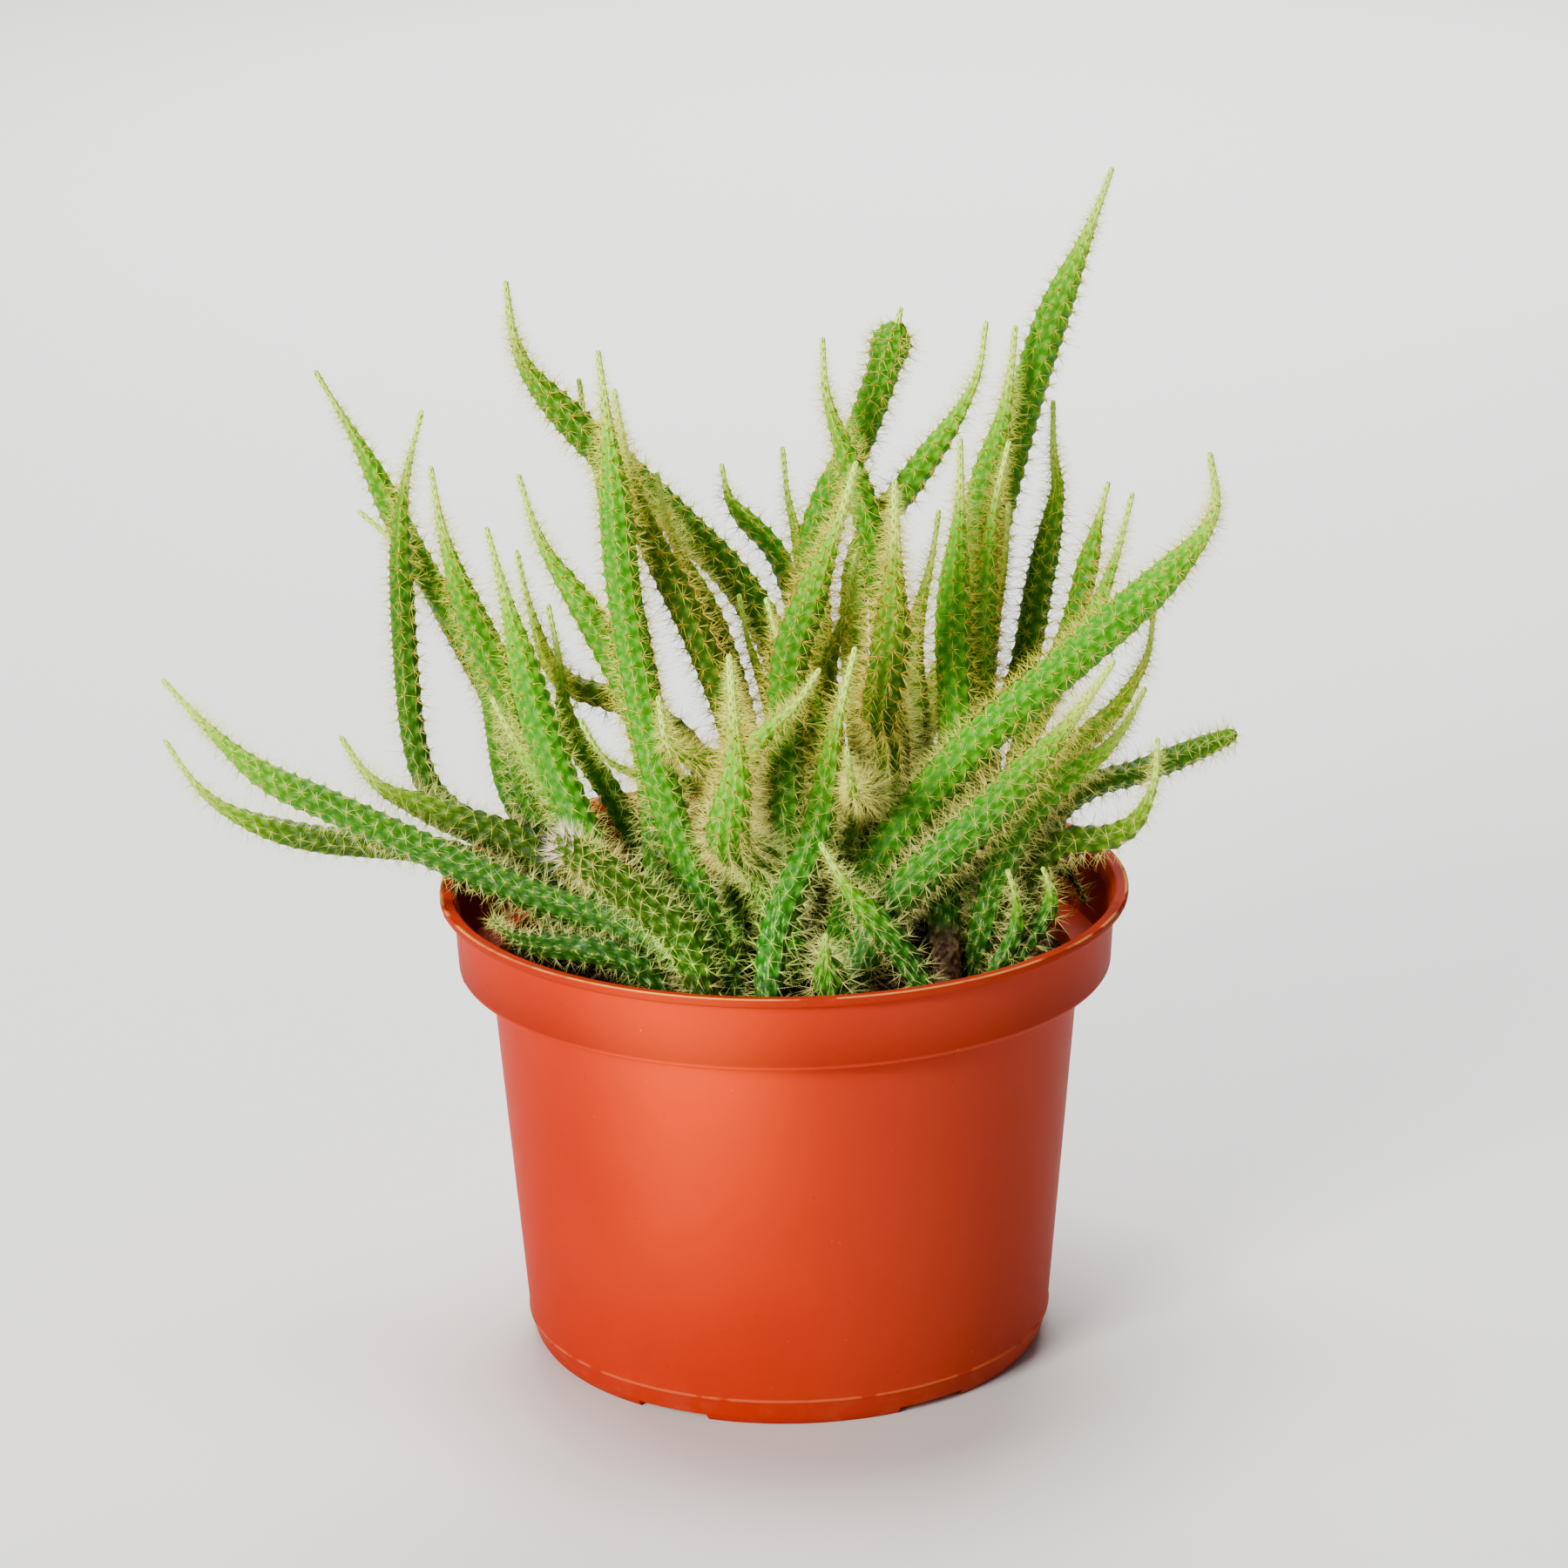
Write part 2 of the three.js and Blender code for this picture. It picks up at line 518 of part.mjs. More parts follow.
// True where a spine keeps clear of the other stems, of their spines and of the pot.
function spineIsClear(stem, foot, apex, stems, spines) {
  const middle = foot.clone().lerp(apex, 0.55);
  const innerWall = POT.bandBottomRadius - POT.wall;
  for (const point of [apex, middle]) {
    const reach = Math.hypot(point.x, point.y);
    if (reach > innerWall - 1 && point.z < POT.height + 1) return false;
    if (point.z < SOIL.middleHeight + 2) return false;
    for (const other of stems) {
      if (other === stem) continue;
      for (let k = 0; k < other.path.length; k += 1) {
        const room = other.radii[k] + STEM.tubercle + SPINE.clearance;
        if (other.path[k].distanceTo(point) < room) return false;
      }
    }
  }
  const apart = SPINE.length * 0.8;
  return spines.every((spine) => spine.stem === stem || spine.middle.distanceTo(middle) > apart);
}

// One spine on each ring, on an areole that turns round the stem from ring to ring.
function addSpines(stem, mesh, stems, spines) {
  const lean = THREE.MathUtils.degToRad(SPINE.lean);
  mesh.rings.forEach((ring, index) => {
    if (index === mesh.rings.length - 1) return;
    const turn = (index * 3 + (stem.name.length % 4) * 2) % mesh.sides;
    const column = (turn + ((turn + index) % 2)) % mesh.sides;
    const corner = ring.first + column;
    const foot = mesh.vertices[corner];
    const outward = foot.clone().sub(ring.centre).normalize();
    const towardTip = index % 2 === 0 ? 1 : -0.5;
    outward.addScaledVector(ring.tangent, Math.tan(lean) * towardTip).normalize();
    const length = ring.distance < 0.7 * stem.taper ? SPINE.tipLength : SPINE.length;
    const apex = foot.clone().addScaledVector(outward, length);
    const faceIndex = mesh.faces.findIndex((face) => face[0] === corner);
    if (faceIndex < 0 || !spineIsClear(stem, foot, apex, stems, spines)) return;
    spines.push({ stem, middle: foot.clone().lerp(apex, 0.55) });
    growSpine(mesh, faceIndex, apex);
  });
}

function meshGeometry(mesh) {
  const geometry = new THREE.BufferGeometry();
  const positions = Float32Array.from(mesh.vertices.flatMap((vertex) => vertex.toArray()));
  geometry.setAttribute('position', new THREE.BufferAttribute(positions, 3));
  geometry.setIndex(mesh.faces.flat());
  geometry.computeVertexNormals();
  return geometry;
}

// Every stem's geometry by name, with each shoot fused to the stem that it grows from.
function stemGeometries(stems) {
  const geometries = new Map();
  const spines = [];
  for (const stem of stems) {
    const mesh = tubeMesh(stem);
    if (!stem.wood) addSpines(stem, mesh, stems, spines);
    geometries.set(stem.name, meshGeometry(mesh));
  }
  for (const shoot of stems.filter((stem) => stem.joins)) {
    const joined = solidFrom(geometries.get(shoot.joins)).add(solidFrom(geometries.get(shoot.name)));
    geometries.set(shoot.joins, geometryFrom(joined));
    geometries.delete(shoot.name);
  }
  return geometries;
}

// ---- Soil ------------------------------------------------------------------------------------

// The body of soil fills the pot to a slightly uneven, mounded top.
function soilBody() {
  const bottom = POT.floorHeight + POT.floorThickness + CLEARANCE;
  const bottomRadius = bodyRadius(bottom) - POT.wall - 3;
  const edgeRadius = bodyRadius(SOIL.edgeHeight) - POT.wall - 2 * CLEARANCE;
  const kneeRadius = bodyRadius(bottom + 6) - POT.wall - 2 * CLEARANCE;
  const { edgeHeight, middleHeight } = SOIL;
  const profile = [
    [0, bottom],
    [bottomRadius, bottom],
    [kneeRadius, bottom + 6],
    [edgeRadius, edgeHeight],
    [edgeRadius * 0.86, middleHeight - 0.8],
    [edgeRadius * 0.45, middleHeight],
    [0, middleHeight],
  ];
  const geometry = turned(profile, SOIL.segments);
  const position = geometry.getAttribute('position');
  for (let k = 0; k < position.count; k += 1) {
    const x = position.getX(k);
    const y = position.getY(k);
    const z = position.getZ(k);
    const lift = SOIL.unevenness * Math.sin(0.13 * x + 1) * Math.cos(0.11 * y);
    if (z > edgeHeight + 1) position.setZ(k, z + lift);
  }
  return solidFrom(geometry);
}

function soil(stems) {
  let solid = soilBody();
  const holes = stems.filter((stem) => stem.root).map((stem) => {
    const foot = stem.path[0];
    const radius = stem.radius * (STEM.baseShare + 0.06) + STEM.tubercle + HOLE_PLAY;
    const depth = 30;
    const hole = new THREE.CylinderGeometry(radius, radius, depth, HOLE_SIDES).rotateX(Math.PI / 2);
    hole.translate(foot.x, foot.y, ROOT_DEPTH - CLEARANCE - 0.4 + depth / 2);
    return solidFrom(hole);
  });
  for (const hole of holes) solid = solid.subtract(hole);
  return geometryFrom(solid);
}

// ---- The assembly ----------------------------------------------------------------------------

function piece(name, geometry, material) {
  const mesh = new THREE.Mesh(geometry, material);
  mesh.name = name;
  return mesh;
}

const stems = STEMS.map(prepared);
spread(stems);

const cactus = new THREE.Group();
cactus.add(piece('pot', pot(), finish('pot')));
cactus.add(piece('soil', soil(stems), finish('soil')));
let stemIndex = 0;
for (const [name, geometry] of stemGeometries(stems)) {
  const material = name === 'old_wood' ? finish('wood') : stemFinish(stemIndex);
  cactus.add(piece(`stem_${name}`, geometry, material));
  stemIndex += 1;
}

export default cactus;
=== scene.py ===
"""The looks of a rat tail cactus in a nursery pot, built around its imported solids.

Sizes are in millimetres until a mesh is made. Every random draw has a fixed seed, so each run
gives the same result.
"""

import logging
import math
from dataclasses import dataclass, field
from enum import Enum

import bmesh
import bpy
import numpy as np
from mathutils import Matrix


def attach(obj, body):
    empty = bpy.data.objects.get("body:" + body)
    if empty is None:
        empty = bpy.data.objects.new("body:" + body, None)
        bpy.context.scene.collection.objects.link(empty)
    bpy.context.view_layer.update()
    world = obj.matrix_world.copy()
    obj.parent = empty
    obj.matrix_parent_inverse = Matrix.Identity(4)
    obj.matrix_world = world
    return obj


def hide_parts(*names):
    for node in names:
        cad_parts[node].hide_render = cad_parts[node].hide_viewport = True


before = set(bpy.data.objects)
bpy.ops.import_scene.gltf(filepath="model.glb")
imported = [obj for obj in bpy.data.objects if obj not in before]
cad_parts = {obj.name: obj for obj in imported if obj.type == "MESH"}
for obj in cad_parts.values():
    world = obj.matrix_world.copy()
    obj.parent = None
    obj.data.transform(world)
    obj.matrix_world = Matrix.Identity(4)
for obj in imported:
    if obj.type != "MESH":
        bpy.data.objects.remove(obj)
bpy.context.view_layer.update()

MM = 0.001
BODY = "root"
BAKE_MAP = "OFBake"
LATTICE_MAP = "lattice"
SKIN_MAP = (0.006, 0.774)     # where the skin starts up the bake map, and how much of it it takes
SPINE_MAP = (0.80, 0.19)      # the same for the spines

logging.basicConfig(level=logging.INFO, format="%(message)s")
log = logging.getLogger("cactus")

Colour = tuple[float, float, float]
Place = tuple[float, float, float]     # in mm
Edges = tuple[float, float]            # where a smooth step starts and ends

MIX_SHARE, MIX_FIRST, MIX_SECOND, MIX_RESULT = 0, 6, 7, 2     # a colour Mix node's sockets


# ---- Shader helpers ---------------------------------------------------------------------------


class Wire:
    """A shader output that takes part in Python arithmetic; each operation adds a Math node."""

    def __init__(self, sheet: "NodeSheet", output: bpy.types.NodeSocket) -> None:
        """Wraps an output of one of the sheet's nodes."""
        self.sheet = sheet
        self.output = output

    def maths(self, operation: str, *others: "Wire | float", swapped: bool = False) -> "Wire":
        """Adds a Math node.

        Args:
            operation: the Math node's operation.
            others: the further operands.
            swapped: True where this wire is the last operand.

        Returns:
            The node's result.
        """
        values = dict(enumerate([*others, self] if swapped else [self, *others]))
        node = self.sheet.node("ShaderNodeMath", {"operation": operation}, values)
        return Wire(self.sheet, node.outputs[0])

    def __add__(self, other: "Wire | float") -> "Wire":
        """Sum."""
        return self.maths("ADD", other)

    def __sub__(self, other: "Wire | float") -> "Wire":
        """Difference."""
        return self.maths("SUBTRACT", other)

    def __rsub__(self, other: float) -> "Wire":
        """Difference from a number."""
        return self.maths("SUBTRACT", other, swapped=True)

    def __mul__(self, other: "Wire | float") -> "Wire":
        """Product."""
        return self.maths("MULTIPLY", other)

    __radd__ = __add__
    __rmul__ = __mul__

    def from_whole(self) -> "Wire":
        """Signed distance to the nearest whole number."""
        return self - self.maths("ROUND")

    def length_with(self, other: "Wire") -> "Wire":
        """Length of the vector of this and another wire."""
        return (self * self + other * other).maths("SQRT")

    def step(self, low: float, high: float) -> "Wire":
        """Smooth step: 3t^2 - 2t^3 of the share t of the way from low to high.

        Args:
            low: where it leaves 0.
            high: where it reaches 1.

        Returns:
            The step.
        """
        settings = {"interpolation_type": "SMOOTHSTEP", "clamp": True}
        values = {"Value": self, "From Min": low, "From Max": high, "To Min": 0.0, "To Max": 1.0}
        return Wire(self.sheet, self.sheet.node("ShaderNodeMapRange", settings, values).outputs[0])


class NodeSheet:
    """One material's nodes."""

    def __init__(self, name: str) -> None:
        """Starts a material with an empty node tree.

        Args:
            name: the material's name.
        """
        self.material = bpy.data.materials.new(name)
        self.material.use_nodes = True
        self.tree = self.material.node_tree
        self.tree.nodes.clear()

    def node(
        self, kind: str, settings: dict | None = None, values: dict | None = None
    ) -> bpy.types.Node:
        """Adds a node.

        Args:
            kind: the node's type.
            settings: its properties, which are set first.
            values: by socket name or number, a number, a colour, a Wire or an output to link.

        Returns:
            The node.
        """
        node = self.tree.nodes.new(kind)
        for key, setting in (settings or {}).items():
            setattr(node, key, setting)
        for key, value in (values or {}).items():
            socket = node.inputs[key]
            if isinstance(value, Wire):
                self.tree.links.new(value.output, socket)
            elif isinstance(value, bpy.types.NodeSocket):
                self.tree.links.new(value, socket)
            elif isinstance(value, tuple) and len(value) == 3 and socket.type == "RGBA":
                socket.default_value = (*value, 1.0)
            else:
                socket.default_value = value
        return node

    def attribute(self, name: str) -> Wire:
        """A number that the mesh's points carry."""
        return Wire(self, self.node("ShaderNodeAttribute", {"attribute_name": name}).outputs["Fac"])

    def map_coordinates(self, name: str) -> tuple[Wire, Wire]:
        """Reads a UV map.

        Args:
            name: the map's name.

        Returns:
            How far across and how far up it a point is.
        """
        vector = self.node("ShaderNodeUVMap", {"uv_map": name}).outputs[0]
        parts = self.node("ShaderNodeSeparateXYZ", None, {0: vector}).outputs
        return Wire(self, parts[0]), Wire(self, parts[1])

    def place(self) -> Wire:
        """The point in the object's own frame, in metres."""
        return Wire(self, self.node("ShaderNodeTexCoord").outputs["Object"])

    def axes(self) -> tuple[Wire, Wire, Wire]:
        """How far the point is to the right, to the back and up, in metres."""
        parts = self.node("ShaderNodeSeparateXYZ", None, {0: self.place()}).outputs
        return Wire(self, parts[0]), Wire(self, parts[1]), Wire(self, parts[2])

    def noise(self, scale: float, detail: float = 3.0, vector: Wire | None = None) -> Wire:
        """Smooth noise around 0.5.

        Args:
            scale: cycles a metre, or a unit of the vector.
            detail: finer layers added.
            vector: where it is read, or None for the object's frame.

        Returns:
            The noise.
        """
        values = {"Vector": vector or self.place(), "Scale": scale, "Detail": detail}
        return Wire(self, self.node("ShaderNodeTexNoise", None, values).outputs["Fac"])

    def dots(self, scale: float, radius: float, core: float = 0.6) -> Wire:
        """Scattered round dots.

        Args:
            scale: cells a metre.
            radius: a dot's radius, as a share of a cell.
            core: the share of the radius up to which a dot is full.

        Returns:
            1 in the middle of a dot and 0 outside the dots.
        """
        values = {"Vector": self.place(), "Scale": scale}
        cells = self.node("ShaderNodeTexVoronoi", None, values)
        return 1.0 - Wire(self, cells.outputs["Distance"]).step(core * radius, radius)

    def joined(self, x: Wire | float, y: Wire | float, z: Wire | float = 0.0) -> Wire:
        """A vector of three numbers."""
        return Wire(self, self.node("ShaderNodeCombineXYZ", None, {0: x, 1: y, 2: z}).outputs[0])

    def blend(
        self, first: Wire | Colour, second: Wire | Colour, share: Wire | float, kind: str = "MIX"
    ) -> Wire:
        """Mixes two colours.

        Args:
            first: the colour at share 0.
            second: the colour at share 1.
            share: how much of the second shows.
            kind: the Mix node's blend type.

        Returns:
            The mixed colour.
        """
        settings = {"data_type": "RGBA", "blend_type": kind, "clamp_factor": True}
        values = {MIX_SHARE: share, MIX_FIRST: first, MIX_SECOND: second}
        return Wire(self, self.node("ShaderNodeMix", settings, values).outputs[MIX_RESULT])

    def layered(self, colour: Wire, *layers: tuple[Colour | Wire, Wire]) -> Wire:
        """Lays colours over a first one, in turn.

        Args:
            colour: the first colour.
            layers: each further colour, and how much of it shows.

        Returns:
            The mixed colour.
        """
        for tone, share in layers:
            colour = self.blend(colour, tone, share)
        return colour

    def surface(
        self, colour: Wire, roughness: Wire | float, gloss: float = 0.5,
        relief: Wire | None = None, depth: float = 0.0,
    ) -> bpy.types.Material:
        """Ends the sheet in one Principled shader.

        Args:
            colour: its Base Color.
            roughness: its Roughness.
            gloss: its Specular IOR Level.
            relief: height that a Bump node reads, or None.
            depth: how far that height reaches, in metres.

        Returns:
            The material.
        """
        values = {"Base Color": colour, "Roughness": roughness, "Specular IOR Level": gloss}
        if relief is not None:
            heights = {"Height": relief, "Distance": depth, "Strength": 1.0}
            values["Normal"] = self.node("ShaderNodeBump", None, heights).outputs[0]
        shader = self.node("ShaderNodeBsdfPrincipled", None, values)
        self.node("ShaderNodeOutputMaterial", None, {"Surface": shader.outputs[0]})
        return self.material


# ---- Mesh helpers -----------------------------------------------------------------------------


@dataclass
class Patch:
    """Part of a mesh: points in mm, faces that all have 3 or all 4 corners, and what they carry."""

    points: np.ndarray
    faces: np.ndarray
    finish: int = 0
    maps: dict[str, np.ndarray] = field(default_factory=dict)
    values: dict[str, np.ndarray] = field(default_factory=dict)
    smooth: bool = True


def volume_of(patches: list[Patch]) -> float:
    """Six times the signed volume: the sum over fans of each face of a . (b x c).

    Args:
        patches: the parts of a closed body.

    Returns:
        The sum, which is positive where the faces point outwards.
    """
    total = 0.0
    for patch in patches:
        first = patch.points[patch.faces[:, 0]]
        for k in range(1, patch.faces.shape[1] - 1):
            b = patch.points[patch.faces[:, k]]
            c = patch.points[patch.faces[:, k + 1]]
            total += float(np.einsum("ij,ij->", first, np.cross(b, c)))
    return total


def turned_over(patch: Patch) -> Patch:
    """Reverses the order of a patch's corners and of their places on its maps.

    Args:
        patch: the patch, which is changed.

    Returns:
        The same patch.
    """
    width = patch.faces.shape[1]
    patch.faces = patch.faces[:, ::-1]
    for name, corners in patch.maps.items():
        patch.maps[name] = corners.reshape(-1, width, 2)[:, ::-1].reshape(-1, 2)
    return patch


def facing_out(patches: list[Patch]) -> list[Patch]:
    """The patches of one closed body, turned over where their volume is negative."""
    return [turned_over(p) for p in patches] if volume_of(patches) < 0 else patches


def make_piece(
    name: str, patches: list[Patch], finishes: list[bpy.types.Material]
) -> bpy.types.Object:
    """Puts patches into one object at the origin.

    Args:
        name: the piece's name.
        patches: its parts; a map or value that one part lacks is 0 there.
        finishes: the materials that the patches' finish numbers pick.

    Returns:
        The object, linked to the scene.
    """
    starts = np.cumsum([0] + [len(p.points) for p in patches])
    corners = np.concatenate([(p.faces + s).ravel() for p, s in zip(patches, starts)])
    points = np.concatenate([p.points for p in patches]) * MM
    counts = [len(p.faces) for p in patches]
    sides = np.repeat([p.faces.shape[1] for p in patches], counts)
    finish = np.repeat([p.finish for p in patches], counts)
    smooth = np.repeat([p.smooth for p in patches], counts)
    mesh = bpy.data.meshes.new(name)
    mesh.vertices.add(int(starts[-1]))
    mesh.vertices.foreach_set("co", points.astype(np.float32).ravel())
    mesh.loops.add(len(corners))
    mesh.loops.foreach_set("vertex_index", corners.astype(np.int32))
    mesh.polygons.add(len(sides))
    mesh.polygons.foreach_set("loop_start", (np.cumsum(sides) - sides).astype(np.int32))
    mesh.polygons.foreach_set("material_index", finish.astype(np.int32))
    mesh.polygons.foreach_set("use_smooth", smooth)
    mesh.update(calc_edges=True)
    for key in sorted({key for p in patches for key in p.maps}):
        joined = np.concatenate([p.maps.get(key, np.zeros((p.faces.size, 2))) for p in patches])
        layer = mesh.uv_layers.new(name=key)
        layer.uv.foreach_set("vector", joined.astype(np.float32).ravel())
    for key in sorted({key for p in patches for key in p.values}):
        joined = np.concatenate([p.values.get(key, np.zeros(len(p.points))) for p in patches])
        layer = mesh.attributes.new(key, "FLOAT", "POINT")
        layer.data.foreach_set("value", joined.astype(np.float32))
    for material in finishes:
        mesh.materials.append(material)
    piece = bpy.data.objects.new(name, mesh)
    bpy.context.scene.collection.objects.link(piece)
    return piece


def place_piece(piece: bpy.types.Object, slot: str, *nodes: str) -> None:
    """Ties a piece to the body, hides the solids that it stands for, and logs it.

    Args:
        piece: the piece.
        slot: not used.
        nodes: the solids that it stands for.
    """
    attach(piece, BODY)
    if nodes:
        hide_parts(*nodes)
    triangles = sum(len(p.vertices) - 2 for p in piece.data.polygons)
    log.info("%s: %d triangles", piece.name, triangles)


def grid_faces(rows: int, columns: int) -> tuple[np.ndarray, np.ndarray, np.ndarray]:
    """Quads of a grid that closes on itself across its columns.

    Args:
        rows: rings of points.
        columns: points in a ring.

    Returns:
        The quads, and each corner's row and column, where the last column's far side counts on.
    """
    i, j = np.meshgrid(np.arange(rows - 1), np.arange(columns), indexing="ij")
    row = np.stack([i, i, i + 1, i + 1], -1).reshape(-1, 4)
    column = np.stack([j, j + 1, j + 1, j], -1).reshape(-1, 4)
    return row * columns + column % columns, row, column


def smoothstep(value: np.ndarray | float) -> np.ndarray:
    """3t^2 - 2t^3 of the value held between 0 and 1."""
    t = np.clip(value, 0.0, 1.0)
    return t * t * (3.0 - 2.0 * t)


def rising(first: float, share: np.ndarray) -> np.ndarray:
    """From a first value at share 0 to 1 at share 1."""
    return first + (1.0 - first) * share


def unit(vectors: np.ndarray) -> np.ndarray:
    """Vectors at length 1."""
    return vectors / np.maximum(np.linalg.norm(vectors, axis=-1, keepdims=True), 1e-9)


def turned(profile: np.ndarray, segments: int) -> tuple[np.ndarray, np.ndarray, np.ndarray]:
    """A profile of (radius, height) carried round the upright axis.

    Args:
        profile: the profile's points.
        segments: steps round.

    Returns:
        Points by row and step, each step's angle, and the quads.
    """
    angle = 2 * np.pi * np.arange(segments) / segments
    x = profile[:, :1] * np.cos(angle)
    y = profile[:, :1] * np.sin(angle)
    z = np.repeat(profile[:, 1:2], segments, axis=1)
    return np.stack([x, y, z], -1), angle, grid_faces(len(profile), segments)[0]


def with_poles(points: np.ndarray, faces: np.ndarray, count: int) -> Patch:
    """Closes a turned body whose profile starts and ends on the axis.

    Each end ring lies on one point of the axis, so that its quads become a fan of triangles.

    Args:
        points: the turned points, row by row.
        faces: their quads.
        count: points in a row.

    Returns:
        The body in triangles.
    """
    inner = faces[count:-count]
    j = np.arange(count)
    after = (j + 1) % count
    last = len(points) - 2 * count
    foot = np.stack([np.zeros(count, int), count + after, count + j], -1)
    top = np.stack([np.full(count, len(points) - 1), last + j, last + after], -1)
    split = np.concatenate([inner[:, [0, 1, 2]], inner[:, [0, 2, 3]], foot, top])
    used, renumbered = np.unique(split, return_inverse=True)
    return Patch(points[used], renumbered.reshape(split.shape))


# ---- Stems: what the solids say ---------------------------------------------------------------


@dataclass(frozen=True)
class SolidStem:
    """Reads the course of a stem, and of any shoot fused to it, back from its solid.

    An edge shorter than foot_edge belongs to a spine's foot, and those that meet at its point
    are longer than apex_edge. The lowest ring lies within foot_depth of the lowest point.
    """

    node: str
    foot_edge: float = 0.53
    apex_edge: float = 2.0
    foot_depth: float = 1.6
    weld_metres: float = 2e-5
    fold_passes: int = 4
    most_levels: int = 400
    lowest_tip: int = 2

    def welded(self) -> tuple[np.ndarray, np.ndarray]:
        """Joins the solid's loose triangles.

        Returns:
            Its points in mm and its edges.
        """
        mesh = bmesh.new()
        mesh.from_mesh(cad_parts[self.node].data)
        bmesh.ops.remove_doubles(mesh, verts=mesh.verts, dist=self.weld_metres)
        mesh.verts.index_update()
        points = np.array([v.co for v in mesh.verts]) / MM
        edges = np.array([[v.index for v in e.verts] for e in mesh.edges])
        mesh.free()
        return points, edges

    def without_spines(self) -> tuple[np.ndarray, np.ndarray]:
        """Folds each spine away.

        A spine's point is dropped: it has three edges, all of them long. The short edges of its
        foot are drawn together into one point.

        Returns:
            The points and edges that are left.
        """
        points, edges = self.welded()
        size = np.linalg.norm(points[edges[:, 0]] - points[edges[:, 1]], axis=1)
        count = np.bincount(edges.ravel(), minlength=len(points))
        shortest = np.full(len(points), np.inf)
        np.minimum.at(shortest, edges[:, 0], size)
        np.minimum.at(shortest, edges[:, 1], size)
        apex = (count == 3) & (shortest > self.apex_edge)
        kept = ~apex[edges].any(1)
        edges, size = edges[kept], size[kept]
        label = np.arange(len(points))
        short = edges[size < self.foot_edge]
        for _ in range(self.fold_passes):
            np.minimum.at(label, short[:, 0], label[short[:, 1]])
            np.minimum.at(label, short[:, 1], label[short[:, 0]])
        used = np.unique(label[~apex])
        renumber = np.full(len(points), -1)
        renumber[used] = np.arange(len(used))
        joined = np.sort(renumber[label[edges]], axis=1)
        joined = np.unique(joined[joined[:, 0] != joined[:, 1]], axis=0)
        return points[used], joined

    def levels(self, edges: np.ndarray, start: np.ndarray) -> np.ndarray:
        """Counts edges outwards from marked points.

        Args:
            edges: the edges.
            start: True at the marked points.

        Returns:
            How many edges each point is away, or -1 where none leads to it.
        """
        level = np.where(start, 0, -1)
        a, b = edges[:, 0], edges[:, 1]
        for k in range(self.most_levels):
            from_a = b[(level[a] == k) & (level[b] < 0)]
            from_b = a[(level[b] == k) & (level[a] < 0)]
            reached = np.concatenate([from_a, from_b])
            if len(reached) == 0:
                break
            level[reached] = k + 1
        return level

    @staticmethod
    def ring(points: np.ndarray) -> list[float]:
        """Centre and mean radius of a ring of points."""
        centre = points.mean(0)
        return [*centre, np.linalg.norm(points - centre, axis=1).mean()]

    def rings(self, points: np.ndarray, level: np.ndarray, sides: int) -> np.ndarray:
        """Goes from level to level, while a level is one whole ring.

        Args:
            points: the points.
            level: each one's level.
            sides: points in a ring.

        Returns:
            Centre and mean radius of each ring.
        """
        found = []
        for k in range(1, int(level.max()) + 1):
            here = points[level == k]
            if len(here) != sides:
                break
            found.append(self.ring(here))
        return np.array(found)

    def courses(self) -> list[np.ndarray]:
        """Follows the rings of the stem and its shoots.

        A tip has no higher neighbour and an edge to each point of its ring, and the rings are
        followed down from it. Where a stem forks, the trunk's are followed up from the foot.
        The shoot that goes on straightest from the trunk is the stem itself.

        Returns:
            For each, rows of (x, y, z, radius) from foot to tip, the stem itself first.
        """
        points, edges = self.without_spines()
        foot = points[:, 2] < points[:, 2].min() + self.foot_depth
        sides = int(foot.sum()) - 1
        level = self.levels(edges, foot)
        a, b = edges[:, 0], edges[:, 1]
        lower = np.where(level[a] < level[b], a, b)
        below_another = np.zeros(len(points), bool)
        below_another[lower[level[a] != level[b]]] = True
        valence = np.bincount(edges.ravel(), minlength=len(points))
        closed = valence == sides
        tips = np.flatnonzero(~below_another & closed & (level > self.lowest_tip))
        chains = []
        for tip in tips[np.argsort(-level[tips])]:
            start = np.arange(len(points)) == tip
            rings = self.rings(points, self.levels(edges, start), sides)
            if len(rings) > 1:
                chains.append(np.vstack([[*points[tip], 0.0], rings])[::-1])
        if len(chains) == 1:
            return chains
        trunk = np.vstack([self.ring(points[foot & ~closed]), self.rings(points, level, sides)])
        along = unit(trunk[-1, :3] - trunk[-2, :3])
        aside = [np.linalg.norm(np.cross(c[0, :3] - trunk[-1, :3], along)) for c in chains]
        main = int(np.argmin(aside))
        shoots = [np.vstack([trunk[-1:], c]) for k, c in enumerate(chains) if k != main]
        return [np.vstack([trunk, chains[main]]), *shoots]


# ---- Stems: how they grow ---------------------------------------------------------------------


class Skin(Enum):
    """A stem's general colour."""

    FRESH = "fresh"
    LEAF = "leaf"
    DEEP = "deep"
    OLIVE = "olive"
    FROSTED = "frosted"


class Coat(Enum):
    """How a stem's spines stand: how many to an areole, their length, thickness and lean."""

    TRIM = "trim"
    BRISTLY = "bristly"
    HAIRY = "hairy"
    SHAGGY = "shaggy"


@dataclass(frozen=True)
class CoatSizes:
    """Sizes of a coat of spines."""

    radials: int
    centrals: int
    length: float
    width: float
    lean: tuple[float, float]


COATS = {
    Coat.TRIM: CoatSizes(6, 2, 3.7, 0.068, (26.0, 66.0)),
    Coat.BRISTLY: CoatSizes(7, 2, 4.3, 0.070, (24.0, 66.0)),
    Coat.HAIRY: CoatSizes(8, 2, 4.6, 0.066, (22.0, 68.0)),
    Coat.SHAGGY: CoatSizes(8, 3, 5.0, 0.066, (24.0, 76.0)),
}

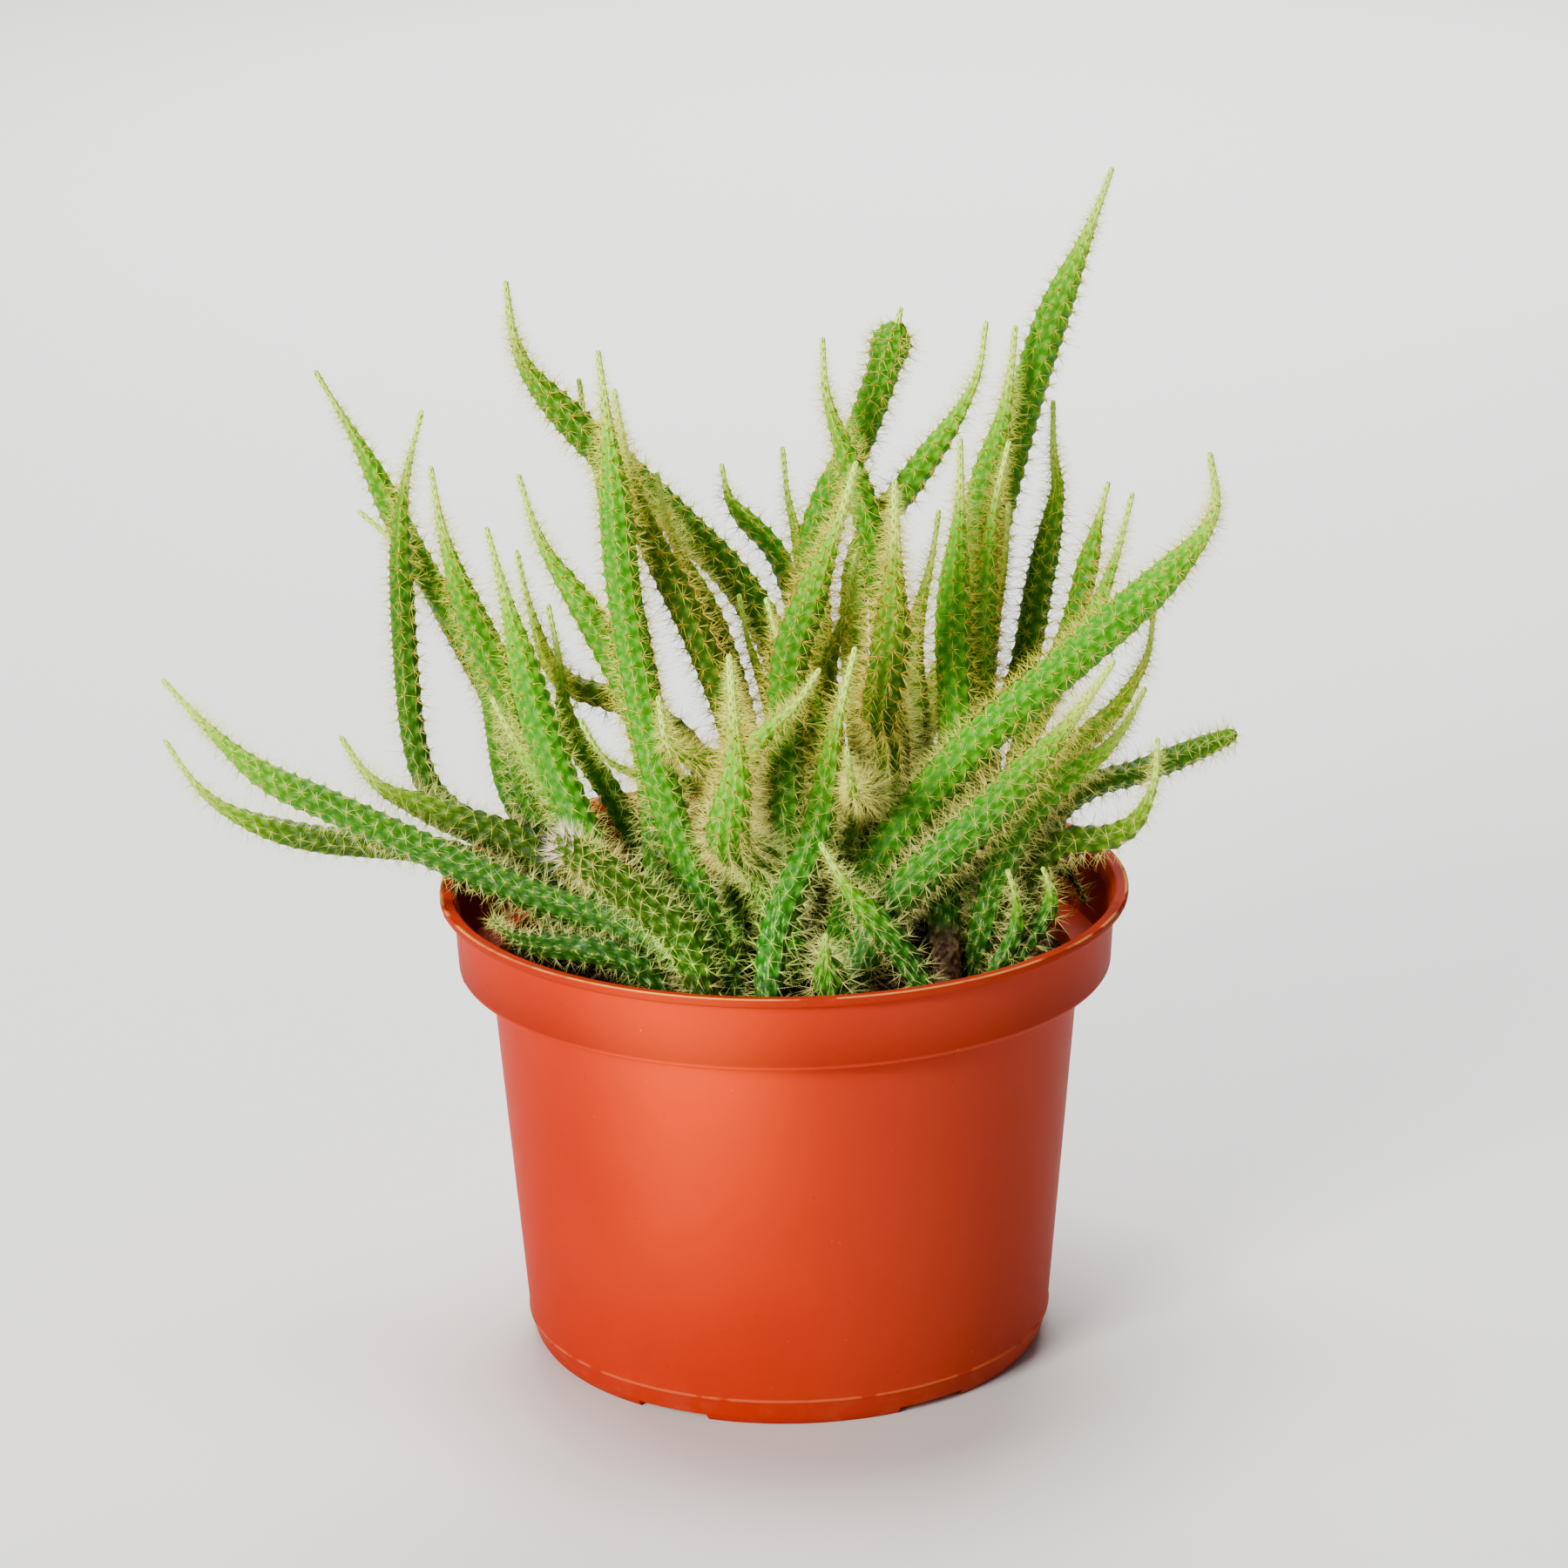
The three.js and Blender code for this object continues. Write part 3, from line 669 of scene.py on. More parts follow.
LOOKS = {
    "left_long": (Skin.LEAF, Coat.BRISTLY),
    "left_low": (Skin.OLIVE, Coat.HAIRY),
    "left_hairy": (Skin.OLIVE, Coat.SHAGGY),
    "left_upright": (Skin.DEEP, Coat.BRISTLY),
    "left_high": (Skin.LEAF, Coat.TRIM),
    "left_high_small": (Skin.DEEP, Coat.TRIM),
    "left_inner_tall": (Skin.LEAF, Coat.BRISTLY),
    "left_bright": (Skin.FRESH, Coat.TRIM),
    "left_behind": (Skin.OLIVE, Coat.HAIRY),
    "left_slim": (Skin.LEAF, Coat.HAIRY),
    "left_arching": (Skin.LEAF, Coat.BRISTLY),
    "left_shoot": (Skin.FRESH, Coat.BRISTLY),
    "middle_tall": (Skin.FRESH, Coat.BRISTLY),
    "middle_second": (Skin.OLIVE, Coat.HAIRY),
    "middle_rear_slim": (Skin.DEEP, Coat.BRISTLY),
    "middle_olive": (Skin.OLIVE, Coat.SHAGGY),
    "middle_leaning": (Skin.DEEP, Coat.BRISTLY),
    "middle_crossing": (Skin.FROSTED, Coat.BRISTLY),
    "front_hairy": (Skin.OLIVE, Coat.SHAGGY),
    "front_upturned": (Skin.FRESH, Coat.SHAGGY),
    "front_short_right": (Skin.FRESH, Coat.HAIRY),
    "front_ball": (Skin.OLIVE, Coat.SHAGGY),
    "front_left_blunt": (Skin.OLIVE, Coat.HAIRY),
    "centre_slim": (Skin.LEAF, Coat.HAIRY),
    "centre_bright": (Skin.FRESH, Coat.TRIM),
    "centre_leaning": (Skin.LEAF, Coat.HAIRY),
    "centre_hairy": (Skin.OLIVE, Coat.SHAGGY),
    "centre_olive": (Skin.OLIVE, Coat.HAIRY),
    "rear_fork": (Skin.LEAF, Coat.BRISTLY),
    "rear_left_tip": (Skin.LEAF, Coat.BRISTLY),
    "rear_blunt": (Skin.LEAF, Coat.BRISTLY),
    "rear_arching": (Skin.LEAF, Coat.BRISTLY),
    "right_upright": (Skin.FRESH, Coat.BRISTLY),
    "right_dark": (Skin.DEEP, Coat.HAIRY),
    "right_leaning": (Skin.LEAF, Coat.BRISTLY),
    "right_thin_front": (Skin.LEAF, Coat.HAIRY),
    "right_thin_rear": (Skin.OLIVE, Coat.HAIRY),
    "right_tallest": (Skin.LEAF, Coat.TRIM),
    "right_rear_long": (Skin.DEEP, Coat.BRISTLY),
    "right_pair": (Skin.LEAF, Coat.HAIRY),
    "right_long": (Skin.FRESH, Coat.BRISTLY),
    "right_front_long": (Skin.FROSTED, Coat.HAIRY),
    "right_front_short": (Skin.FRESH, Coat.HAIRY),
    "right_hairy": (Skin.OLIVE, Coat.HAIRY),
    "right_low_rear": (Skin.DEEP, Coat.BRISTLY),
    "right_low_front": (Skin.OLIVE, Coat.HAIRY),
    "rim_shoot_left": (Skin.FROSTED, Coat.BRISTLY),
    "drooping": (Skin.DEEP, Coat.BRISTLY),
    "front_bright": (Skin.FROSTED, Coat.BRISTLY),
    "front_crossing": (Skin.FROSTED, Coat.HAIRY),
    "front_tuft": (Skin.FRESH, Coat.SHAGGY),
    "rim_follower": (Skin.DEEP, Coat.TRIM),
    "back_left": (Skin.LEAF, Coat.BRISTLY),
    "back_middle": (Skin.LEAF, Coat.BRISTLY),
    "back_right": (Skin.LEAF, Coat.BRISTLY),
}


@dataclass
class Course:
    """A stem's fine course, by distance from its tip."""

    knots: np.ndarray
    tip_share: float = 0.42
    tail: float = 0.0
    tail_slimming: float = 0.14
    slim_start: float = 0.2
    slim_end: float = 0.4
    slim_fade: float = 0.35
    thinnest: float = 0.68
    step: float = 0.8

    def __post_init__(self) -> None:
        """Samples the course.

        The curve is a cubic through the knots whose slope at each is the difference of its
        neighbours. The side direction keeps as near as it can to the normal of the plane that
        the course bends in, the last row of the directions' singular vectors.
        """
        knots = self.knots.copy()
        knots[-1, 3] = knots[-2, 3] * self.tip_share
        chord = np.linalg.norm(np.diff(knots[:, :3], axis=0), axis=1)
        at = np.concatenate([[0.0], np.cumsum(chord)])
        slope = np.gradient(knots, at, axis=0)
        fine = np.linspace(0.0, at[-1], int(at[-1] / self.step) + 2)
        k = np.clip(np.searchsorted(at, fine, side="right") - 1, 0, len(at) - 2)
        span = (at[k + 1] - at[k])[:, None]
        t = (fine - at[k])[:, None] / span
        curve = (
            (2 * t**3 - 3 * t**2 + 1) * knots[k]
            + (t**3 - 2 * t**2 + t) * span * slope[k]
            + (3 * t**2 - 2 * t**3) * knots[k + 1]
            + (t**3 - t**2) * span * slope[k + 1]
        )[::-1]
        self.centre = curve[:, :3]
        self.radius = np.maximum(curve[:, 3], self.thinnest)
        steps = np.linalg.norm(np.diff(self.centre, axis=0), axis=1)
        self.distance = np.concatenate([[0.0], np.cumsum(steps)])
        if self.tail > 0:
            slim = smoothstep(self.distance / (self.slim_start * self.tail))
            slim *= 1 - smoothstep((self.distance / self.tail - self.slim_end) / self.slim_fade)
            self.radius *= 1 - self.tail_slimming * slim
        self.towards_tip = -unit(np.gradient(self.centre, self.distance, axis=0))
        normal = np.linalg.svd(self.towards_tip, full_matrices=False)[2][-1]
        self.side = unit(normal - self.towards_tip * (self.towards_tip @ normal)[:, None])
        self.across = np.cross(self.towards_tip, self.side)

    @property
    def length(self) -> float:
        """The whole course's length."""
        return float(self.distance[-1])

    def read(self, table: np.ndarray, distance: np.ndarray) -> np.ndarray:
        """Reads a table of the course between its samples.

        Args:
            table: a number or a row for each sample.
            distance: distances from the tip.

        Returns:
            The numbers or rows at these distances.
        """
        if table.ndim == 1:
            return np.interp(distance, self.distance, table)
        return np.stack([np.interp(distance, self.distance, c) for c in table.T], -1)


@dataclass
class Growth:
    """One stem or shoot: ribbed, tubercled skin with its lattice of areoles."""

    course: Course
    seed: int
    age: float = 0.0
    nib: float = 0.0
    youth: float = 1.0
    map_start: float = 0.0
    map_width: float = 1.0
    rib_gap: float = 2.95
    fewest_ribs: int = 6
    most_ribs: int = 11
    most_twist: float = 0.006
    pitch: float = 3.6
    pitch_spread: tuple[float, float] = (0.95, 1.08)
    young_pitch: float = 1.9
    young_length: float = 26.0
    rows_to_pitch: int = 3
    relief_share: float = 0.13
    most_relief: float = 0.5
    relief_level: float = 0.75
    cap_share: float = 1.1
    cap_angles: tuple[float, ...] = (28.0, 55.0, 80.0)
    cap_gap: float = 1.15
    nib_share: float = 0.7
    nib_edge: float = 0.4
    cork_edge: float = 5.0
    pole_rise: float = 0.004

    def __post_init__(self) -> None:
        """Settles the ribs and the table of areole count against distance from the tip."""
        draw = np.random.default_rng(self.seed)
        widest = float(self.course.radius.max())
        ribs = round(2 * math.pi * widest / self.rib_gap)
        self.ribs = int(np.clip(ribs, self.fewest_ribs, self.most_ribs))
        self.turn = self.ribs // 2
        self.twist = float(draw.uniform(-self.most_twist, self.most_twist))
        self.start_angle = float(draw.uniform(0, 2 * math.pi))
        self.pitch *= float(draw.uniform(*self.pitch_spread))
        self.cap = self.cap_share * self.course.radius[0]
        distance = self.course.distance
        grown = smoothstep(distance / (self.young_length * self.youth))
        pitch = self.pitch * rising(self.young_pitch / self.pitch, grown)
        self.steps = np.diff(distance)
        counts = np.cumsum(self.steps / (0.5 * (pitch[1:] + pitch[:-1])))
        self.count = np.concatenate([[0.0], counts])

    def distance_at(self, count: np.ndarray) -> np.ndarray:
        """Distance from the tip at an areole count."""
        return np.interp(count, self.count, self.course.distance)

    def count_at(self, distance: np.ndarray) -> np.ndarray:
        """Areole count at a distance from the tip."""
        return np.interp(distance, self.course.distance, self.count)

    def behind(self, rib: np.ndarray) -> np.ndarray:
        """How far, in counts, the areoles of a rib lie behind those of rib 0."""
        return rib * self.turn / self.ribs

    def outward(self, distance: np.ndarray, rib: np.ndarray) -> np.ndarray:
        """Direction away from the course, cos(a) s + sin(a) c at a rib's angle a.

        Args:
            distance: distances from the tip.
            rib: rib numbers, whose angles the twist turns along the stem.

        Returns:
            The directions, at length 1.
        """
        angle = self.start_angle + 2 * np.pi * rib / self.ribs + self.twist * distance
        side = self.course.read(self.course.side, distance)
        across = self.course.read(self.course.across, distance)
        return unit(side * np.cos(angle)[..., None] + across * np.sin(angle)[..., None])

    def skin_radius(self, distance: np.ndarray, rib: np.ndarray) -> np.ndarray:
        """How thick the skin makes the stem.

        It is the stem's radius, rounded off like a ball over the last bit, plus a relief of three
        crossed waves over the lattice, cos(u) + cos(v) + cos(u + v), whose crests are the areoles.

        Args:
            distance: distances from the tip.
            rib: rib numbers.

        Returns:
            The skin's distance from the course.
        """
        radius = self.course.read(self.course.radius, distance)
        inside = np.clip(1 - distance / self.cap, 0.0, 1.0)
        along = self.count_at(distance) - self.behind(rib)
        waves = np.cos(2 * np.pi * rib) + np.cos(2 * np.pi * along)
        waves = waves + np.cos(2 * np.pi * (rib + along))
        relief = np.minimum(self.relief_share * radius, self.most_relief)
        return (radius + relief * (waves / 3 - self.relief_level)) * np.sqrt(1 - inside**2)

    def point(self, distance: np.ndarray, rib: np.ndarray) -> np.ndarray:
        """Point of the skin."""
        centre = self.course.read(self.course.centre, distance)
        return centre + self.outward(distance, rib) * self.skin_radius(distance, rib)[..., None]

    def skin(self, cork_below: float) -> list[Patch]:
        """The skin as a grid of rings and ribs with closed ends.

        Args:
            cork_below: height under which the skin has turned to cork.

        Returns:
            The grid and its two end fans.
        """
        columns = 2 * self.ribs
        end = self.course.length
        cap_rows = self.cap * (1 - np.cos(np.radians(self.cap_angles)))
        counts = np.arange(1, int(self.count[-1] * self.rows_to_pitch)) / self.rows_to_pitch
        rows = self.distance_at(counts)
        rows = np.concatenate([cap_rows, rows[rows > self.cap_gap * cap_rows[-1]], [end]])
        distance, rib = np.meshgrid(rows, np.arange(columns) / 2.0, indexing="ij")
        quads, row, column = grid_faces(len(rows), columns)
        count = self.count_at(rows)
        lattice = count[row] - self.behind(column / 2.0)
        across = self.map_start + self.map_width * column / columns
        up = SKIN_MAP[0] + SKIN_MAP[1] * (rows / end)[row]
        patch = Patch(self.point(distance, rib).reshape(-1, 3), quads)
        patch.maps[LATTICE_MAP] = np.stack([column / 2.0, lattice], -1).reshape(-1, 2)
        patch.maps[BAKE_MAP] = np.stack([across, up], -1).reshape(-1, 2)
        tip = self.fan(rows[0], 0.0, columns, count[0], SKIN_MAP[0])
        foot = self.fan(end, end, columns, count[-1], SKIN_MAP[0] + SKIN_MAP[1])
        self.mark(patch, distance.ravel(), cork_below)
        self.mark(tip, np.zeros(len(tip.points)), cork_below)
        self.mark(foot, np.full(len(foot.points), end), cork_below)
        return facing_out([patch, tip, turned_over(foot)])

    def mark(self, part: Patch, at: np.ndarray, cork_below: float) -> None:
        """Gives a part of the skin what its finish reads at each point.

        Args:
            part: the part.
            at: each point's distance from the tip.
            cork_below: height under which the skin has turned to cork.
        """
        course = self.course
        aged = smoothstep((at - self.nib_share * self.nib) / self.nib_edge) if self.nib else 1.0
        pitches = 1 / np.diff(self.count) * self.steps
        part.values["from_tip"] = at / self.youth + self.age * aged
        part.values["girth"] = course.read(course.radius, at) * 2 * np.pi / self.ribs
        part.values["pitch"] = np.interp(at, course.distance[1:], pitches)
        part.values["cork"] = smoothstep((cork_below - part.points[:, 2]) / self.cork_edge)

    def fan(self, rim: float, pole: float, columns: int, count: float, v: float) -> Patch:
        """A fan of triangles from a pole on the course to a ring of the skin.

        Args:
            rim: the ring's distance from the tip.
            pole: the pole's distance from the tip.
            columns: points in the ring.
            count: the ring's areole count.
            v: the ring's height on the bake map.

        Returns:
            The fan.
        """
        j = np.arange(columns)
        ring = self.point(np.full(columns, rim), j / 2.0)
        centre = self.course.read(self.course.centre, np.array([pole]))
        faces = np.stack([np.full(columns, columns), (j + 1) % columns, j], -1)
        rib = np.stack([j + 0.5, j + 1.0, j], -1) / 2.0
        rise = self.pole_rise if pole > 0 else -self.pole_rise
        level = np.broadcast_to([v + rise, v, v], (columns, 3))
        lattice = np.stack([rib, count - self.behind(rib)], -1)
        bake = np.stack([self.map_start + self.map_width * 2 * rib / columns, level], -1)
        maps = {LATTICE_MAP: lattice.reshape(-1, 2), BAKE_MAP: bake.reshape(-1, 2)}
        return Patch(np.vstack([ring, centre]), faces, maps=maps)


@dataclass(frozen=True)
class Clearances:
    """Where spines would run into the pot or the soil."""

    lip_top: float = 107.7
    band_inside: float = 71.6
    body_inside: float = 64.6
    body_top: float = 90.5
    soil_top: float = 90.8

    def clear(self, roots: np.ndarray, tips: np.ndarray) -> np.ndarray:
        """Tells which spines stay off the pot's wall and out of the soil.

        Args:
            roots: where they start.
            tips: where they end.

        Returns:
            True for each one that does.
        """
        reach = np.hypot(tips[:, 0], tips[:, 1])
        in_wall = (tips[:, 2] < self.lip_top) & (reach > self.band_inside)
        in_body = (tips[:, 2] < self.body_top) & (reach > self.body_inside)
        return ~in_wall & ~in_body & (roots[:, 2] > self.soil_top)


@dataclass
class SpineCoat:
    """The spines of one stem: at each areole a star of radials and a few centrals.

    Towards the tip they are shorter, thinner and fewer, and low in the clump thinner and fewer.
    """

    growth: Growth
    sizes: CoatSizes
    seed: int
    cork_below: float
    blunt: bool = False
    burst_length: float = 0.0
    burst_edge: float = 3.0
    bare_tip: float = 1.5
    bare_blunt_tip: float = 0.2
    sink: float = 0.12
    areole_radius: float = 0.14
    steep: float = 0.8
    jitter: float = 0.48
    central_lean: tuple[float, float] = (62.0, 84.0)
    central_length: float = 1.12
    lengths: tuple[float, float] = (0.55, 1.15)
    young_reach: float = 16.0
    young_length: float = 0.36
    young_share: float = 0.6
    young_width: float = 0.55
    low_height: float = 100.0
    low_reach: float = 50.0
    low_missing: float = 0.45
    low_thinning: float = 0.3
    fresh_reach: float = 24.0
    pale_height: float = 108.0
    bands: int = 14
    shades: int = 3
    corner_aside: tuple[float, ...] = (-0.4, 0.4, 0.0, 0.0)
    corner_along: tuple[float, ...] = (0.01, 0.01, 0.03, 0.99)

    def areoles(self) -> tuple[np.ndarray, np.ndarray]:
        """Finds the areoles that bear spines.

        Areoles sit at whole counts on each rib, and each rib is a fixed share of a count
        behind the one before, which makes the lattice of diamonds.

        Returns:
            Each one's distance from the tip and rib number.
        """
        growth = self.growth
        counts = np.arange(int(growth.count[-1]) + 1)
        rib, count = np.meshgrid(np.arange(growth.ribs), counts, indexing="ij")
        count = count + growth.behind(rib) % 1.0
        inside = (count < growth.count[-1]).ravel()
        distance = growth.distance_at(count.ravel()[inside])
        rib = rib.ravel()[inside].astype(float)
        bare = max(self.bare_blunt_tip, growth.nib) if self.blunt else self.bare_tip
        return distance[distance > bare], rib[distance > bare]

    def height(self, distance: np.ndarray) -> np.ndarray:
        """Height of the course at a distance from the tip."""
        return self.growth.course.read(self.growth.course.centre[:, 2], distance)

    def mesh(self) -> Patch:
        """Each spine as a closed three-sided spike.

        A spine leaves its areole at an azimuth phi about the outward direction n and at a lean
        e above the skin: cos(e) (cos(phi) t + sin(phi) c) + sin(e) n, with t along the stem.

        Returns:
            The spines.
        """
        draw = np.random.default_rng(self.seed)
        growth, sizes = self.growth, self.sizes
        each = sizes.radials + sizes.centrals
        distance, rib = (np.repeat(value, each) for value in self.areoles())
        total = len(distance)
        number = np.tile(np.arange(each), total // each)
        central = number >= sizes.radials
        grown = smoothstep((distance / growth.youth - 1.0) / self.young_reach)
        if self.blunt:
            grown = np.ones(total)
        start = np.repeat(draw.uniform(0, 2 * np.pi, total // each), each)
        step = number + draw.uniform(-self.jitter, self.jitter, total)
        phi = start + 2 * np.pi * step / sizes.radials
        lean = draw.uniform(*sizes.lean, total)
        lean = np.radians(np.where(central, draw.uniform(*self.central_lean, total), lean))
        length = sizes.length * draw.uniform(*self.lengths, total)
        length = length * rising(self.young_length, grown)
        length = np.where(central, self.central_length * length, length)
        low = 1.0 - smoothstep((self.height(distance) - self.low_height) / self.low_reach)
        share = rising(self.young_share, grown) * (1.0 - self.low_missing * low)
        kept = draw.uniform(0, 1, total) < share
        n = growth.outward(distance, rib)
        t = growth.course.read(growth.course.towards_tip, distance)
        flat = t * np.cos(phi)[:, None] + np.cross(n, t) * np.sin(phi)[:, None]
        direction = unit(flat * np.cos(lean)[:, None] + n * np.sin(lean)[:, None])
        burst = smoothstep((self.burst_length - distance) / self.burst_edge)
        direction = unit(direction + t * burst[:, None])
        foot = growth.point(distance, rib) + flat * self.areole_radius
        tips = foot + direction * length[:, None]
        kept &= Clearances().clear(foot, tips) & (foot[:, 2] > self.cork_below)
        band = (distance[kept] / growth.course.length * self.bands).astype(int)
        shade = draw.integers(0, self.shades, len(band))
        width = sizes.width * rising(self.young_width, grown[kept])
        width = width * (1.0 - self.low_thinning * low[kept])
        return self.spikes(foot[kept], direction[kept], length[kept], width, band, shade)

    def spikes(
        self, foot: np.ndarray, direction: np.ndarray, length: np.ndarray,
        width: np.ndarray, band: np.ndarray, shade: np.ndarray,
    ) -> Patch:
        """Closed spikes: three points round the foot at 120 degrees and one at the tip.

        What colours a spike goes by its band along the stem and its shade, and all the spikes
        of one band and shade lie on the same line of the bake map.

        Args:
            foot: where each starts.
            direction: where each points, at length 1.
            length: how long each is.
            width: the radius of each one's foot.
            band: number of the length of stem that each stands on.
            shade: number of each one's shade.

        Returns:
            The spikes.
        """
        total = len(foot)
        growth = self.growth
        steep = np.abs(direction[:, 2:3]) >= self.steep
        helper = np.where(steep, [[1.0, 0.0, 0.0]], [[0.0, 0.0, 1.0]])
        p = unit(np.cross(direction, helper))
        q = np.cross(direction, p)
        angle = 2 * np.pi * np.arange(3) / 3
        rim = p[:, None] * np.cos(angle)[None, :, None] + q[:, None] * np.sin(angle)[None, :, None]
        base = (foot - direction * self.sink)[:, None] + rim * width[:, None, None]
        tips = (foot + direction * length[:, None])[:, None]
        points = np.concatenate([base, tips], axis=1).reshape(-1, 3)
        faces = np.array([[0, 1, 3], [1, 2, 3], [2, 0, 3], [2, 1, 0]])
        faces = (faces[None] + 4 * np.arange(total)[:, None, None]).reshape(-1, 3)
        line = (shade * self.bands + band + 0.5)[:, None] + np.array(self.corner_aside)
        v = SPINE_MAP[0] + SPINE_MAP[1] * line / (self.bands * self.shades)
        u = growth.map_start + growth.map_width * np.array(self.corner_along)
        place = np.stack([np.broadcast_to(u, (total, 4)), v], -1).reshape(-1, 2)
        at = (band + 0.5) / self.bands * growth.course.length
        fresh = 1.0 - smoothstep(at / growth.youth / self.fresh_reach)
        each = {
            "shade": (shade + 0.5) / self.shades,
            "young": np.zeros(total) if self.blunt else fresh,
            "low": 1.0 - smoothstep((self.height(at) - self.pale_height) / self.low_reach),
            "white": smoothstep((self.burst_length - at) / self.burst_edge),
        }
        values = {name: np.repeat(value, 4) for name, value in each.items()}
        values["along"] = np.tile([0.0, 0.0, 0.0, 1.0], total)
        return Patch(points, faces, 1, {BAKE_MAP: place[faces.ravel()]}, values, False)


# ---- Finishes ---------------------------------------------------------------------------------


@dataclass(frozen=True)
class SkinFinish:
    """A stem's living skin: pale at the tip, green along it, bluish and streaked low down.

    The edges from young to size are distances from the tip in mm, but those of low are heights
    in metres. Those of waves and noises have no unit.
    """

    name: str
    young: Colour
    grown: Colour
    old: Colour
    streak: float
    tip: Colour = (0.74, 1.0, 0.15)
    frost: Colour = (0.40, 0.62, 0.24)
    areole: Colour = (0.46, 0.11, 0.006)
    old_areole: Colour = (0.62, 0.44, 0.09)
    cork: Colour = (0.30, 0.19, 0.11)
    cork_crack: Colour = (0.07, 0.035, 0.02)
    shadow: Colour = (0.20, 0.34, 0.05)
    young_edges: Edges = (8.0, 27.0)
    grown_edges: Edges = (24.0, 54.0)
    old_edges: Edges = (20.0, 60.0)
    low_edges: Edges = (0.110, 0.165)
    shadow_edges: Edges = (6.0, 30.0)
    sheen_edges: Edges = (8.0, 24.0)
    streak_edges: Edges = (14.0, 40.0)
    glint_edges: Edges = (14.0, 30.0)
    wool_edges: Edges = (16.0, 34.0)
    areole_edges: Edges = (8.0, 30.0)
    size_edges: Edges = (4.0, 30.0)
    hollow_waves: Edges = (-0.5, 0.25)
    sheen_waves: Edges = (0.1, 0.9)
    grain_edges: Edges = (0.3, 0.75)
    frost_edges: Edges = (0.56, 0.70)
    crack_edges: Edges = (0.4, 0.62)
    glint_size: Edges = (0.10, 0.42)
    areole_fade: float = 0.16
    areole_size: float = 0.12
    areole_growth: float = 0.11
    areole_skew: float = 0.47
    glint_shift: float = 0.75
    roughness: float = 0.42
    gloss: float = 0.08
    relief_depth: float = 0.0004

    def material(self) -> bpy.types.Material:
        """Builds the skin.

        Areoles are round spots at the whole numbers of the lattice map, with a small pale
        glint on their tip side. Three crossed waves over the lattice mark the hollows between,
        where shade is painted in with the shadow tint.

        Returns:
            The material.
        """
        sheet = NodeSheet(self.name)
        from_tip = sheet.attribute("from_tip")
        rib, count = sheet.map_coordinates(LATTICE_MAP)
        height = sheet.axes()[2]
        across = rib.from_whole()
        wide = across * sheet.attribute("girth")
        tall = (count + across * self.areole_skew).from_whole() * sheet.attribute("pitch")
        spot = wide.length_with(tall)
        waves = [(turns * (2 * math.pi)).maths("COSINE") for turns in (rib, count, rib + count)]
        crest = (waves[0] + waves[1] + waves[2]) * (1 / 3)
        cloud = sheet.noise(90.0, 3.0)
        grain = sheet.noise(900.0, 2.0)
        low = 1.0 - (height + cloud * 0.03).step(*self.low_edges)
        colour = sheet.layered(
            sheet.blend(self.tip, self.young, (from_tip + cloud * 8.0).step(*self.young_edges)),
            (self.grown, (from_tip + cloud * 20.0).step(*self.grown_edges)),
            (self.old, low * from_tip.step(*self.old_edges)),
        )
        # Painted shade: the hollows between the tubercles are darkened with the shadow tint, more
        # so low in the clump.
        shadow = sheet.blend(colour, self.shadow, 1.0, "MULTIPLY")
        hollow_shade = 1.0 - crest.step(*self.hollow_waves)
        dark = hollow_shade * (0.62 + low * 0.2) * from_tip.step(*self.shadow_edges)
        colour = sheet.blend(colour, shadow, dark)
        sheen = crest.step(*self.sheen_waves) * grain.step(*self.grain_edges)
        sheen = sheen * from_tip.step(*self.sheen_edges)
        colour = sheet.blend(colour, self.young, sheen * (0.20 - low * 0.05))
        where = sheet.joined(rib * 2.6, count * 0.9, 0.0)
        streaks = sheet.noise(1.6, 2.0, where).step(*self.frost_edges) * (0.25 + low * 0.75)
        streaks = streaks * self.streak * from_tip.step(*self.streak_edges)
        colour = sheet.blend(colour, self.frost, streaks)
        off = (wide * 1.5).length_with(tall + self.glint_shift)
        glint = 1.0 - off.step(*self.glint_size)
        glint = glint * from_tip.step(*self.glint_edges) * (0.15 + self.streak * 0.4)
        colour = sheet.blend(colour, self.frost, glint)
        woolly = sheet.blend(self.areole, self.old_areole, low)
        size = self.areole_size + from_tip.step(*self.size_edges) * self.areole_growth
        areole = 1.0 - (spot - size).step(0.0, self.areole_fade)
        dot = sheet.blend(shadow, woolly, from_tip.step(*self.wool_edges))
        shown = 0.25 + from_tip.step(*self.areole_edges) * 0.67
        colour = sheet.blend(colour, dot, areole * shown)
        cracks = sheet.noise(700.0, 4.0).step(*self.crack_edges)
        bark = sheet.blend(self.cork, self.cork_crack, cracks)
        colour = sheet.blend(colour, bark, sheet.attribute("cork"))
        relief = crest * 0.75 + areole * 0.25 + grain * 0.10
        return sheet.surface(colour, self.roughness, self.gloss, relief, self.relief_depth)


